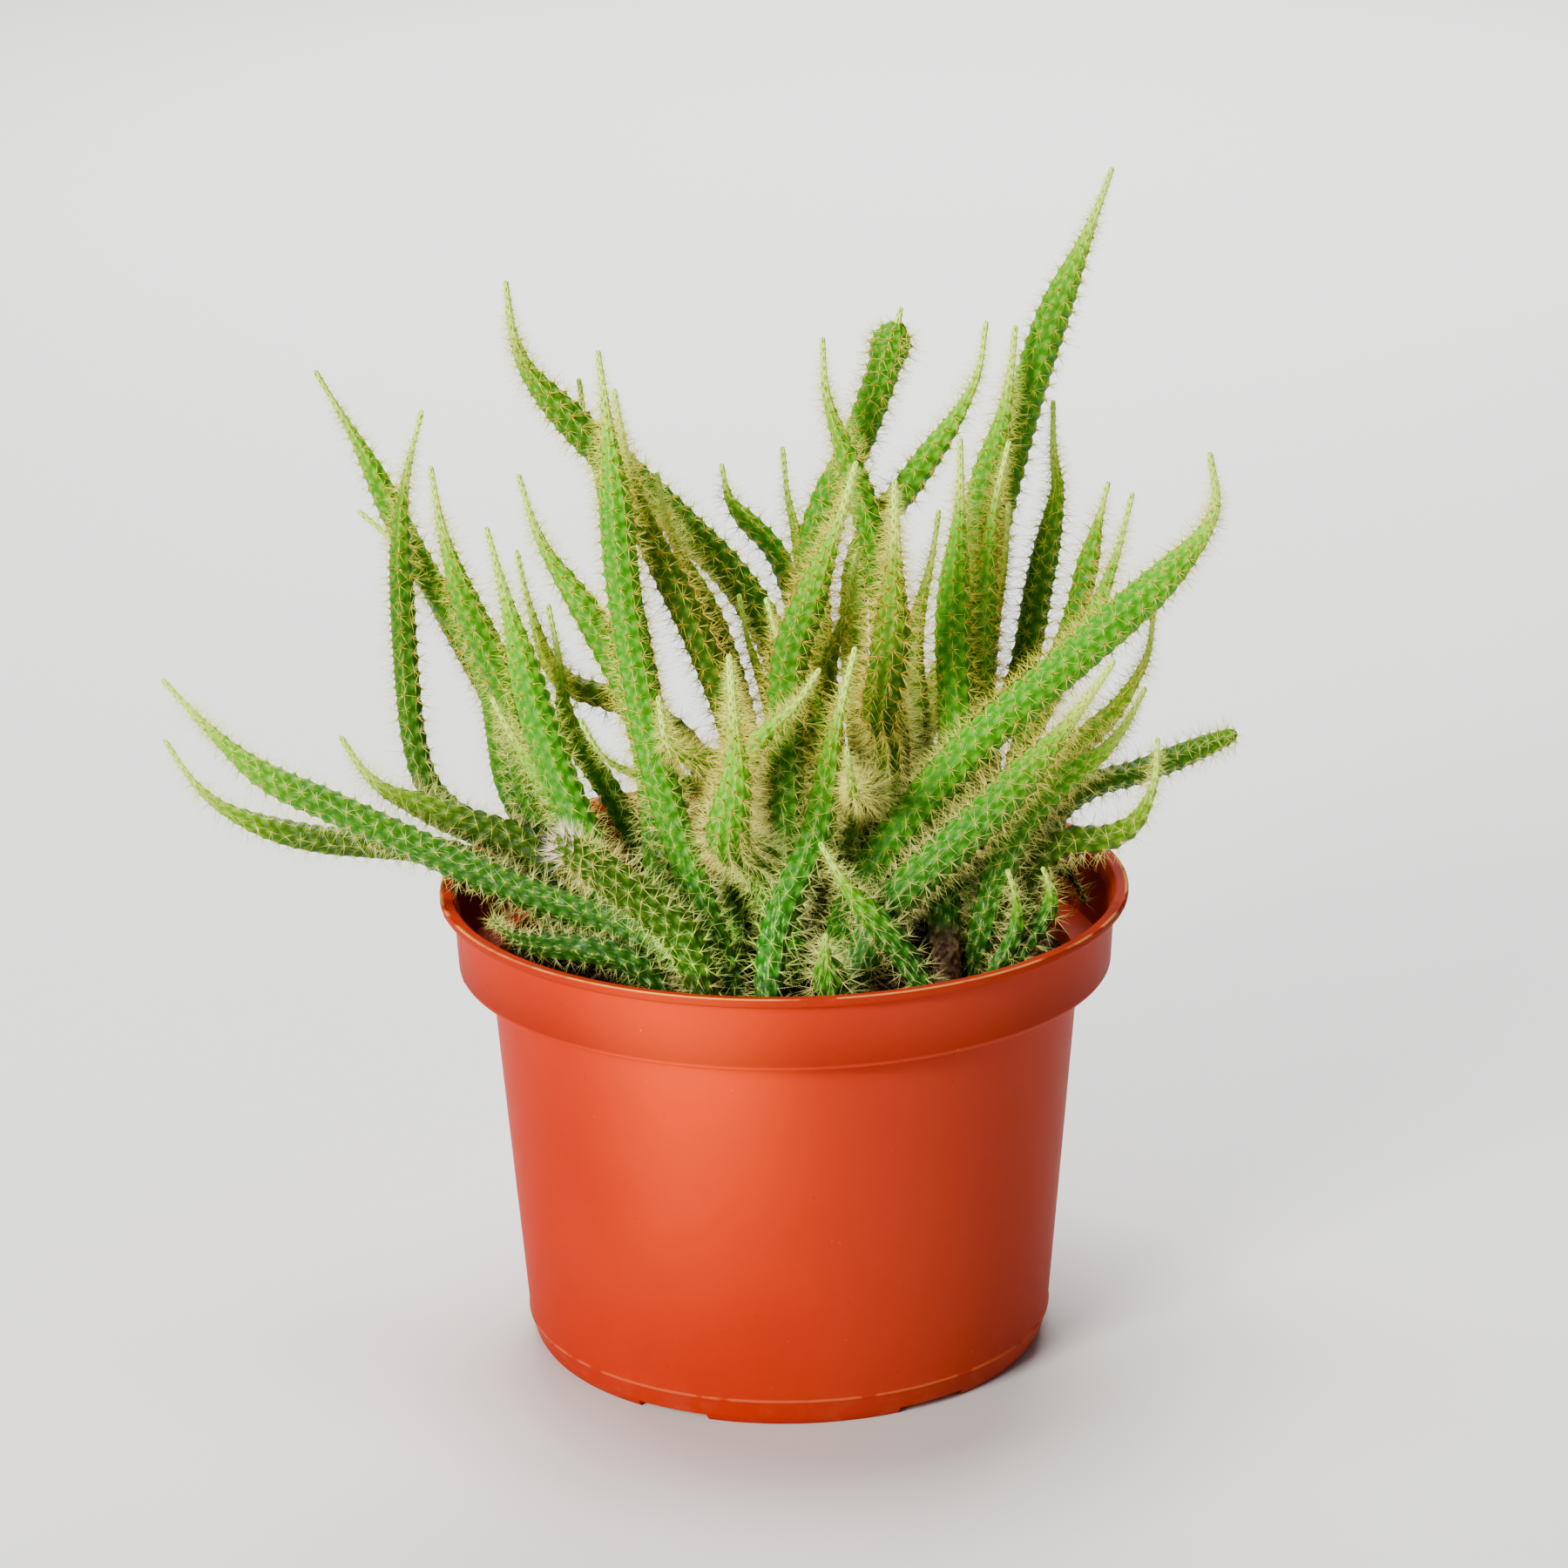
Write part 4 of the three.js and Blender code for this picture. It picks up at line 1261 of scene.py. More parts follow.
@dataclass(frozen=True)
class SpineFinish:
    """Spines: brown at the areole, pale along the shaft, tan at the point."""

    name: str
    shaft: Colour
    other_shaft: Colour
    point_share: float
    root: Colour = (0.46, 0.16, 0.010)
    young: Colour = (0.77, 0.95, 0.16)
    point: Colour = (0.52, 0.25, 0.04)
    white: Colour = (0.95, 0.74, 0.60)
    pale: Colour = (0.82, 0.90, 0.28)
    pale_share: float = 0.72
    young_share: float = 0.7
    root_edges: Edges = (0.03, 0.14)
    point_edges: Edges = (0.55, 1.0)
    roughness: float = 0.5
    gloss: float = 0.15

    def material(self) -> bpy.types.Material:
        """Builds the spine's colour from how far along it a point is and the spine's own shade.

        Returns:
            The material.
        """
        sheet = NodeSheet(self.name)
        along = sheet.attribute("along")
        low = sheet.attribute("low") * self.pale_share
        young = sheet.attribute("young")
        shaft = sheet.blend(self.shaft, self.other_shaft, sheet.attribute("shade"))
        shaft = sheet.blend(shaft, self.pale, low)
        shaft = sheet.blend(shaft, self.young, young * self.young_share)
        root = sheet.blend(sheet.blend(self.root, self.pale, low), self.young, young)
        colour = sheet.blend(root, shaft, along.step(*self.root_edges))
        tan = along.step(*self.point_edges) * (1.0 - low) * self.point_share
        layers = (self.point, tan), (self.white, sheet.attribute("white"))
        return sheet.surface(sheet.layered(colour, *layers), self.roughness, self.gloss)


SKINS = {
    Skin.FRESH: SkinFinish(
        "skin_fresh", (0.22, 0.60, 0.003), (0.074, 0.33, 0.003), (0.027, 0.130, 0.007), 0.5
    ),
    Skin.LEAF: SkinFinish(
        "skin_leaf", (0.20, 0.53, 0.003), (0.066, 0.26, 0.003), (0.024, 0.104, 0.007), 0.4
    ),
    Skin.DEEP: SkinFinish(
        "skin_deep", (0.15, 0.38, 0.003), (0.050, 0.170, 0.004), (0.018, 0.076, 0.006), 0.4
    ),
    Skin.OLIVE: SkinFinish(
        "skin_olive", (0.20, 0.39, 0.001), (0.059, 0.142, 0.002), (0.028, 0.066, 0.003), 0.2
    ),
    Skin.FROSTED: SkinFinish(
        "skin_frosted", (0.20, 0.50, 0.003), (0.056, 0.26, 0.005), (0.025, 0.136, 0.014), 0.65
    ),
}

SPINES = {
    Coat.TRIM: SpineFinish("spines_yellow", (0.54, 0.46, 0.02), (0.70, 0.88, 0.08), 0.7),
    Coat.BRISTLY: SpineFinish("spines_cream", (0.58, 0.46, 0.03), (0.80, 0.88, 0.12), 0.55),
    Coat.HAIRY: SpineFinish("spines_golden", (0.48, 0.34, 0.025), (0.84, 0.78, 0.12), 0.35),
    Coat.SHAGGY: SpineFinish("spines_straw", (0.52, 0.38, 0.03), (0.88, 0.82, 0.15), 0.3),
}


@dataclass(frozen=True)
class CrumblyFinish:
    """Bark or peat: two tones in patches, with fine specks over them."""

    name: str
    dark: Colour
    light: Colour
    speck: Colour
    patches: tuple[float, float]
    specks: tuple[float, float]
    light_edges: Edges
    speck_edges: Edges
    speck_share: float
    patch_relief: float
    depth: float
    roughness: float
    gloss: float

    def material(self) -> bpy.types.Material:
        """Builds the finish from two noises, each of a scale in cycles a metre and a detail.

        Returns:
            The material.
        """
        sheet = NodeSheet(self.name)
        coarse = sheet.noise(*self.patches)
        fine = sheet.noise(*self.specks)
        colour = sheet.blend(self.dark, self.light, coarse.step(*self.light_edges))
        shown = fine.step(*self.speck_edges) * self.speck_share
        colour = sheet.blend(colour, self.speck, shown)
        relief = fine + coarse * self.patch_relief
        return sheet.surface(colour, self.roughness, self.gloss, relief, self.depth)


OLD_BARK = CrumblyFinish(
    "old_bark", dark=(0.26, 0.12, 0.06), light=(0.62, 0.38, 0.20), speck=(0.03, 0.016, 0.01),
    patches=(260.0, 5.0), specks=(1100.0, 4.0), light_edges=(0.35, 0.7),
    speck_edges=(0.54, 0.68), speck_share=0.7, patch_relief=1.0, depth=0.0008,
    roughness=0.9, gloss=0.5,
)

PEAT = CrumblyFinish(
    "soil_peat", dark=(0.006, 0.004, 0.0025), light=(0.035, 0.020, 0.010),
    speck=(0.14, 0.085, 0.045), patches=(350.0, 6.0), specks=(1400.0, 4.0),
    light_edges=(0.42, 0.68), speck_edges=(0.63, 0.75), speck_share=0.6, patch_relief=2.0,
    depth=0.0012, roughness=0.95, gloss=0.05,
)


@dataclass(frozen=True)
class ChipFinish:
    """Bark chips from dark to light brown, each with its own shade, a few of them pale."""

    dark: Colour = (0.025, 0.014, 0.009)
    light: Colour = (0.12, 0.065, 0.032)
    pale: Colour = (0.30, 0.20, 0.12)
    crack: Colour = (0.02, 0.012, 0.008)
    light_edges: Edges = (0.2, 0.85)
    pale_edges: Edges = (0.93, 0.97)
    crack_edges: Edges = (0.5, 0.65)
    crack_share: float = 0.7
    roughness: float = 0.88
    gloss: float = 0.1
    depth: float = 0.0004

    def material(self) -> bpy.types.Material:
        """Builds the finish.

        Returns:
            The material.
        """
        sheet = NodeSheet("soil_bark")
        shade = sheet.attribute("shade")
        cracks = sheet.noise(900.0, 4.0).step(*self.crack_edges) * self.crack_share
        colour = sheet.layered(
            sheet.blend(self.dark, self.light, shade.step(*self.light_edges)),
            (self.pale, shade.step(*self.pale_edges)),
            (self.crack, cracks),
        )
        relief = sheet.noise(1600.0, 3.0)
        return sheet.surface(colour, self.roughness, self.gloss, relief, self.depth)


@dataclass(frozen=True)
class PlasticFinish:
    """Orange-red moulded plastic: fine specks, faint scuffs, a worn, darker lip, painted shade with
    some dirt on the inner wall, and a painted reflection haze on its right side.

    The edges are in metres: across for the right side's painted haze, and otherwise heights or
    reaches from the axis.
    """

    deep: Colour = (0.42, 0.0165, 0.0005)
    light: Colour = (0.45, 0.0195, 0.0008)
    # Painted reflection haze: the right side, away from the key light, is muted towards brown.
    shaded_side_haze: Colour = (0.35, 0.036, 0.017)
    seam: Colour = (0.62, 0.10, 0.03)
    # Painted shade with some dirt: the colour of the inner wall above the soil.
    inside: Colour = (0.20, 0.012, 0.003)
    lip: Colour = (0.27, 0.016, 0.003)
    worn: Colour = (0.58, 0.23, 0.065)
    pale_speck: Colour = (0.62, 0.12, 0.05)
    dark_speck: Colour = (0.22, 0.010, 0.001)
    dust: Colour = (0.45, 0.08, 0.03)
    haze_edges: Edges = (-0.015, 0.050)
    seam_foot: Edges = (0.00615, 0.0064)
    seam_top: Edges = (0.0068, 0.0071)
    inside_foot: Edges = (0.0903, 0.0908)
    inside_reach: Edges = (0.0733, 0.0744)
    lip_foot: Edges = (0.1048, 0.1051)
    lip_reach: Edges = (0.0740, 0.0746)
    worn_foot: Edges = (0.10700, 0.10726)
    worn_reach: Edges = (0.0765, 0.0768)
    dust_top: Edges = (0.0, 0.012)
    roughness: float = 0.42
    gloss: float = 0.012
    depth: float = 0.00004

    def material(self) -> bpy.types.Material:
        """Builds the plastic, one tone over the other.

        Returns:
            The material.
        """
        sheet = NodeSheet("pot_plastic")
        cloud = sheet.noise(22.0, 3.0)
        scuffs = sheet.noise(160.0, 4.0)
        right, back, height = sheet.axes()
        reach = right.length_with(back)
        seam = height.step(*self.seam_foot) * (1.0 - height.step(*self.seam_top))
        # painted shade, with some dirt: the inner wall above the soil is darkened
        inside = height.step(*self.inside_foot) * (1.0 - reach.step(*self.inside_reach))
        lip = height.step(*self.lip_foot) * reach.step(*self.lip_reach)
        worn = height.step(*self.worn_foot) * reach.step(*self.worn_reach)
        wear = sheet.noise(75.0, 4.0).step(0.42, 0.54)
        pale = sheet.dots(330.0, 0.10) * scuffs.step(0.55, 0.7)
        dark = sheet.dots(210.0, 0.08) * (1.0 - scuffs.step(0.40, 0.55))
        dust = (1.0 - height.step(*self.dust_top)) * scuffs.step(0.45, 0.7)
        colour = sheet.layered(
            sheet.blend(self.deep, self.light, cloud.step(0.35, 0.65)),
            # painted reflection haze on the right side, away from the key light
            (self.shaded_side_haze, right.step(*self.haze_edges) * (0.8 + cloud * 0.2)),
            (self.seam, seam * scuffs.step(0.38, 0.5) * 0.7),
            (self.inside, inside * 0.85),
            (self.lip, lip * 0.65),
            (self.worn, worn * wear * 0.8),
            (self.pale_speck, pale * 0.35),
            (self.dark_speck, dark * 0.4),
            (self.dust, dust * 0.35),
        )
        rough = self.roughness + scuffs * 0.06
        return sheet.surface(colour, rough, self.gloss, sheet.noise(1500.0, 2.0), self.depth)


# ---- The plant --------------------------------------------------------------------------------


@dataclass
class Plant:
    """All the living stems, each in place of its solid."""

    woody_feet: dict[str, float] = field(default_factory=lambda: {"right_upright": 109.0})
    ages: dict[str, float] = field(
        default_factory=lambda: {
            "front_left_blunt": 40.0, "rear_blunt": 30.0, "right_low_rear": 22.0, "drooping": 34.0,
            "rim_follower": 30.0, "front_tuft": 9.0, "front_ball": 9.0,
        }
    )
    blunt: tuple[str, ...] = (
        "front_left_blunt", "rear_blunt", "right_low_rear", "drooping", "rim_follower",
    )
    bursts: dict[str, float] = field(default_factory=lambda: {"front_left_blunt": 6.0})
    longest_tail: float = 42.0
    tail_share: float = 0.42
    nibs: tuple[str, ...] = ("rear_blunt",)
    nib_length: float = 4.6
    nib_radius: float = 0.8
    nib_flare: float = 1.3
    nib_places: tuple[float, float, float] = (0.92, 0.72, 0.4)
    pointed_tip: float = 0.42
    blunt_tip: float = 0.75
    cork_height: float = 0.0
    map_share: float = 0.98
    first_seed: int = 1000
    shoot_seed: int = 100
    spine_seed: int = 50

    def __post_init__(self) -> None:
        """Makes the finishes that the stems share."""
        self.skins = {skin: finish.material() for skin, finish in SKINS.items()}
        self.spines = {coat: finish.material() for coat, finish in SPINES.items()}

    def with_nib(self, knots: np.ndarray) -> np.ndarray:
        """A course whose last few millimetres are a thin nib on a blunt end.

        Args:
            knots: the course's rows of (x, y, z, radius) from foot to tip.

        Returns:
            The rows with the nib's shoulder, foot and middle in place of the last but one.
        """
        tip = knots[-1, :3]
        back = unit(knots[-2, :3] - tip) * self.nib_length
        radii = (knots[-2, 3], self.nib_radius * self.nib_flare, self.nib_radius)
        rows = [[*(tip + back * place), r] for place, r in zip(self.nib_places, radii)]
        return np.vstack([knots[:-2], *rows, knots[-1]])

    def stem(self, name: str, seed: int) -> float:
        """Builds one stem with its shoots and spines.

        Args:
            name: the stem's name.
            seed: the seed of its random draws.

        Returns:
            The length of the stem and its shoots in mm.
        """
        skin, coat = LOOKS[name]
        blunt = name in self.blunt
        burst = self.bursts.get(name, 0.0)
        cork_below = self.woody_feet.get(name, self.cork_height)
        patches = []
        total = 0.0
        courses = SolidStem(f"stem_{name}").courses()
        for k, knots in enumerate(courses):
            if name in self.nibs:
                knots = self.with_nib(knots)
            reach = float(np.linalg.norm(np.diff(knots[:, :3], axis=0), axis=1).sum())
            tail = min(self.longest_tail, self.tail_share * reach)
            tip = self.blunt_tip if blunt else self.pointed_tip
            course = Course(knots, tip, 0.0 if blunt else tail)
            own_seed = seed + self.shoot_seed * k
            growth = Growth(
                course,
                own_seed,
                age=self.ages.get(name, 0.0),
                nib=self.nib_length if name in self.nibs else 0.0,
                youth=tail / self.longest_tail,
                map_start=k / len(courses),
                map_width=self.map_share / len(courses),
            )
            spines = SpineCoat(
                growth, COATS[coat], own_seed + self.spine_seed, cork_below, blunt, burst
            )
            patches += [*growth.skin(cork_below), spines.mesh()]
            total += course.length
        piece = make_piece(f"{name}_stem", patches, [self.skins[skin], self.spines[coat]])
        place_piece(piece, "stem", f"stem_{name}")
        return total

    def build(self) -> None:
        """Builds every stem."""
        total = sum(self.stem(name, self.first_seed + k) for k, name in enumerate(LOOKS))
        log.info("stems: %d mm in all", total)


@dataclass
class OldWood:
    """The dead, corky stub among the stems."""

    node: str = "stem_old_wood"
    columns: int = 20
    row_gap: float = 0.8
    first_row: float = 0.1
    tip_share: float = 0.9
    cap_share: float = 0.8
    knot_height: float = 0.22

    def tube(self) -> np.ndarray:
        """Rings of points along the solid's course.

        The radius varies by a few sines round and along it, and its end is rounded off like a
        ball.

        Returns:
            The points by ring and column.
        """
        course = Course(SolidStem(self.node).courses()[0], tip_share=self.tip_share)
        rows = np.arange(0.0, course.length, self.row_gap)
        angle = 2 * np.pi * np.arange(self.columns) / self.columns
        distance, theta = np.meshgrid(rows + self.first_row, angle, indexing="ij")
        knots = np.sin(3 * theta + 0.35 * distance) * np.sin(0.5 * distance)
        knots = knots + np.sin(7 * theta - 0.2 * distance)
        radius = course.read(course.radius, distance) + self.knot_height * knots
        cap = self.cap_share * course.radius[0]
        radius *= np.sqrt(1 - np.clip(1 - distance / cap, 0, 1) ** 2)
        side = course.read(course.side, distance)
        across = course.read(course.across, distance)
        outward = side * np.cos(theta)[..., None] + across * np.sin(theta)[..., None]
        return course.read(course.centre, distance) + outward * radius[..., None]

    def build(self) -> None:
        """Closes the tube with a fan at each end and puts it in place of its solid."""
        grid = self.tube()
        rows, columns = grid.shape[:2]
        faces = grid_faces(rows, columns)[0]
        points = np.vstack([grid.reshape(-1, 3), grid[[0, rows - 1]].mean(1)])
        j = np.arange(columns)
        after = (j + 1) % columns
        pole = rows * columns
        last = pole - columns
        top = np.stack([np.full(columns, pole), after, j], -1)
        foot = np.stack([np.full(columns, pole + 1), last + j, last + after], -1)
        split = np.concatenate([faces[:, [0, 1, 2]], faces[:, [0, 2, 3]], top, foot])
        patches = facing_out([Patch(points, split)])
        piece = make_piece("old_wood_stub", patches, [OLD_BARK.material()])
        place_piece(piece, "old_wood", self.node)


# ---- Pot and soil -----------------------------------------------------------------------------


@dataclass
class PotShape:
    """The nursery pot: a tapered body, a taller band under a turned-out lip, and a foot ring."""

    height: float = 107.4
    lip_radius: float = 77.5
    lip_height: float = 2.4
    lip_inside: float = 74.6
    band_top: float = 74.4
    band_bottom: float = 73.6
    band_height: float = 18.0
    body_top: float = 66.6
    seam_radius: float = 59.8
    seam_height: float = 6.6
    middle: float = 45.0
    foot_radius: float = 57.2
    foot_width: float = 3.2
    floor_height: float = 2.4
    floor_thickness: float = 1.6
    hub_radius: float = 7.0
    wall: float = 1.4
    segments: int = 300
    drain_count: int = 6
    drain_angle: float = -57.0
    drain_radius: float = 3.6
    drain_ring: float = 38.0
    notch_width: float = 17.0
    notch_height: float = 1.8

    def body_radius(self, height: float) -> float:
        """Outside radius of the tapered body, which runs straight from the seam to the band.

        Args:
            height: the height.

        Returns:
            The radius there.
        """
        bottom = self.height - self.band_height
        share = (height - self.seam_height) / (bottom - self.seam_height)
        return self.seam_radius + (self.body_top - self.seam_radius) * share

    def corners(self) -> list[tuple[float, float, float]]:
        """The half section, from under the hub round the outside to the floor's middle.

        Returns:
            Each corner's radius, height and rounding.
        """
        bottom = self.height - self.band_height
        lip = self.height - self.lip_height
        floor = self.floor_height + self.floor_thickness
        inner = self.body_radius(floor) - self.wall
        return [
            (0.0, 0.0, 0.0),
            (self.hub_radius, 0.0, 0.3),
            (self.hub_radius + 1, self.floor_height, 0.4),
            (self.foot_radius - self.foot_width, self.floor_height, 0.4),
            (self.foot_radius - self.foot_width, 0.0, 0.3),
            (self.foot_radius, 0.0, 0.7),
            (self.foot_radius + 1.4, 2.0, 0.9),
            (self.seam_radius - 0.1, self.seam_height - 0.45, 0.15),
            (self.seam_radius + 0.28, self.seam_height - 0.05, 0.12),
            (self.seam_radius + 0.02, self.seam_height + 0.3, 0.12),
            (self.body_radius(self.middle), self.middle, 2.0),
            (self.body_top, bottom + 0.9, 0.5),
            (self.band_bottom - 0.5, bottom + 0.1, 0.4),
            (self.band_bottom, bottom + 0.7, 0.35),
            (self.band_top, lip - 0.5, 0.5),
            (self.lip_radius - 0.5, lip + 0.2, 0.35),
            (self.lip_radius, lip + 0.8, 0.3),
            (self.lip_radius, self.height - 0.25, 0.2),
            (self.lip_radius - 0.35, self.height, 0.15),
            (self.lip_radius - 0.75, self.height - 0.22, 0.15),
            (self.lip_inside, self.height - 0.3, 0.4),
            (self.band_top - self.wall, lip - 1.5, 0.6),
            (self.band_bottom - self.wall, bottom + self.wall, 0.8),
            (self.body_top - self.wall, bottom + self.wall - 0.5, 0.6),
            (self.body_radius(self.middle) - self.wall, self.middle, 2.0),
            (inner, floor, 1.5),
            (0.0, floor, 0.0),
        ]

    def profile(self) -> np.ndarray:
        """Rounds each corner of the half section by a short parabola tangent to both sides.

        Returns:
            The (radius, height) points.
        """
        corners = np.array(self.corners())
        share = np.array([0.0, 0.5, 1.0])[:, None]
        rows = [corners[:1, :2]]
        for before, here, after in zip(corners, corners[1:], corners[2:]):
            into = here[:2] + unit(before[:2] - here[:2]) * here[2]
            out = here[:2] + unit(after[:2] - here[:2]) * here[2]
            pull = 2 * share * (1 - share) * here[:2]
            rows.append((1 - share) ** 2 * into + pull + share**2 * out)
        rows.append(corners[-1:, :2])
        return np.concatenate(rows)


@dataclass
class Pot:
    """The pot's visible piece.

    Each nick in the lip has its angle in degrees, half its width in degrees and its depth.
    """

    shape: PotShape = field(default_factory=PotShape)
    nicks: tuple[tuple[float, float, float], ...] = (
        (-83.0, 1.0, 0.55), (-84.8, 0.7, 0.35), (-13.0, 1.4, 0.6), (-16.5, 0.8, 0.4),
        (191.0, 1.2, 0.5), (38.0, 1.0, 0.5), (118.0, 1.3, 0.45),
    )
    nick_depth: float = 1.0
    nick_fade: float = 0.8
    nick_inset: float = 1.0
    nick_inset_fade: float = 1.2
    nick_pull: float = 0.7
    mould_line: float = 193.0
    mould_line_height: float = 0.16
    mould_line_width: float = 0.55
    cut_from: float = -2.0
    hole_top: float = 9.0
    hole_steps: int = 24
    notch_reach: tuple[float, float] = (50.0, 64.0)
    sharp_angle: float = 40.0

    @staticmethod
    def bell(degrees: np.ndarray, middle: float, width: float) -> np.ndarray:
        """exp(-(a / width)^2), a bell curve of the angle a from its middle."""
        apart = (degrees - middle + 180) % 360 - 180
        return np.exp(-((apart / width) ** 2))

    def surface_points(self) -> tuple[np.ndarray, np.ndarray]:
        """The turned profile with its nicks and mould line.

        A nick lowers and draws in the lip's outer edge by a bell curve of the angle. The mould
        line raises the band's outside by a narrow bell curve.

        Returns:
            Points row by row, and quads.
        """
        shape = self.shape
        grid, angle, faces = turned(shape.profile(), shape.segments)
        height = grid[..., 2]
        radius = np.linalg.norm(grid[..., :2], axis=-1)
        degrees = np.degrees(angle)[None, :]
        edge = smoothstep((height - shape.height + self.nick_depth) / self.nick_fade)
        edge *= smoothstep((radius - shape.lip_inside - self.nick_inset) / self.nick_inset_fade)
        dent = np.zeros_like(radius)
        for middle, width, depth in self.nicks:
            dent = dent + depth * self.bell(degrees, middle, width) * edge
        bottom = shape.height - shape.band_height
        on_band = (height > bottom + 0.5) & (radius > shape.band_bottom - 0.2)
        line = self.bell(degrees, self.mould_line, self.mould_line_width)
        ridge = self.mould_line_height * line * on_band
        scale = 1 + (ridge - self.nick_pull * dent) / np.maximum(radius, 1.0)
        grid[..., :2] *= scale[..., None]
        grid[..., 2] -= dent
        return grid.reshape(-1, 3), faces

    def cutters(self) -> bpy.types.Object:
        """Round drain holes and notches in the foot ring, as one object that cuts them.

        Returns:
            The object.
        """
        shape = self.shape
        angle = 2 * np.pi * np.arange(self.hole_steps) / self.hole_steps
        across = shape.drain_ring + shape.drain_radius * np.cos(angle)
        ring = np.stack([across, shape.drain_radius * np.sin(angle)], -1)
        (near, far), half = self.notch_reach, shape.notch_width / 2
        box = np.array([[near, -half], [far, -half], [far, half], [near, half]])
        patches = []
        for index in range(shape.drain_count):
            turn = math.radians(shape.drain_angle + 360.0 / shape.drain_count * index)
            patches.append(self.prism(ring, self.cut_from, self.hole_top, turn))
            patches.append(self.prism(box, self.cut_from, shape.notch_height, turn))
        return make_piece("drain_cutters", patches, [])

    @staticmethod
    def prism(outline: np.ndarray, low: float, high: float, turn: float) -> Patch:
        """An upright prism.

        Args:
            outline: its outline's (x, y) points.
            low: height of its underside.
            high: height of its top.
            turn: angle that it is turned by about the upright axis.

        Returns:
            The prism in triangles, each end a fan round its middle.
        """
        count = len(outline)
        rotate = np.array([[math.cos(turn), math.sin(turn)], [-math.sin(turn), math.cos(turn)]])
        flat = outline @ rotate
        points = np.concatenate([
            np.column_stack([flat, np.full(count, low)]),
            np.column_stack([flat, np.full(count, high)]),
            [[*flat.mean(0), low], [*flat.mean(0), high]],
        ])
        j = np.arange(count)
        after = (j + 1) % count
        faces = np.concatenate([
            np.stack([j, after, after + count], -1),
            np.stack([j, after + count, j + count], -1),
            np.stack([np.full(count, 2 * count), after, j], -1),
            np.stack([np.full(count, 2 * count + 1), j + count, after + count], -1),
        ])
        return facing_out([Patch(points, faces)])[0]

    def build(self) -> None:
        """Builds the pot, cuts its drains and puts it in place of its solid."""
        body = with_poles(*self.surface_points(), self.shape.segments)
        piece = make_piece("nursery_pot", facing_out([body]), [PlasticFinish().material()])
        cutter = self.cutters()
        cut = piece.modifiers.new("drains", "BOOLEAN")
        cut.operation = "DIFFERENCE"
        cut.solver = "EXACT"
        cut.object = cutter
        shown = piece.evaluated_get(bpy.context.evaluated_depsgraph_get())
        mesh = bpy.data.meshes.new_from_object(shown)
        piece.modifiers.clear()
        piece.data = mesh
        bpy.data.objects.remove(cutter)
        mesh.set_sharp_from_angle(angle=math.radians(self.sharp_angle))
        place_piece(piece, "pot_plastic", "pot")


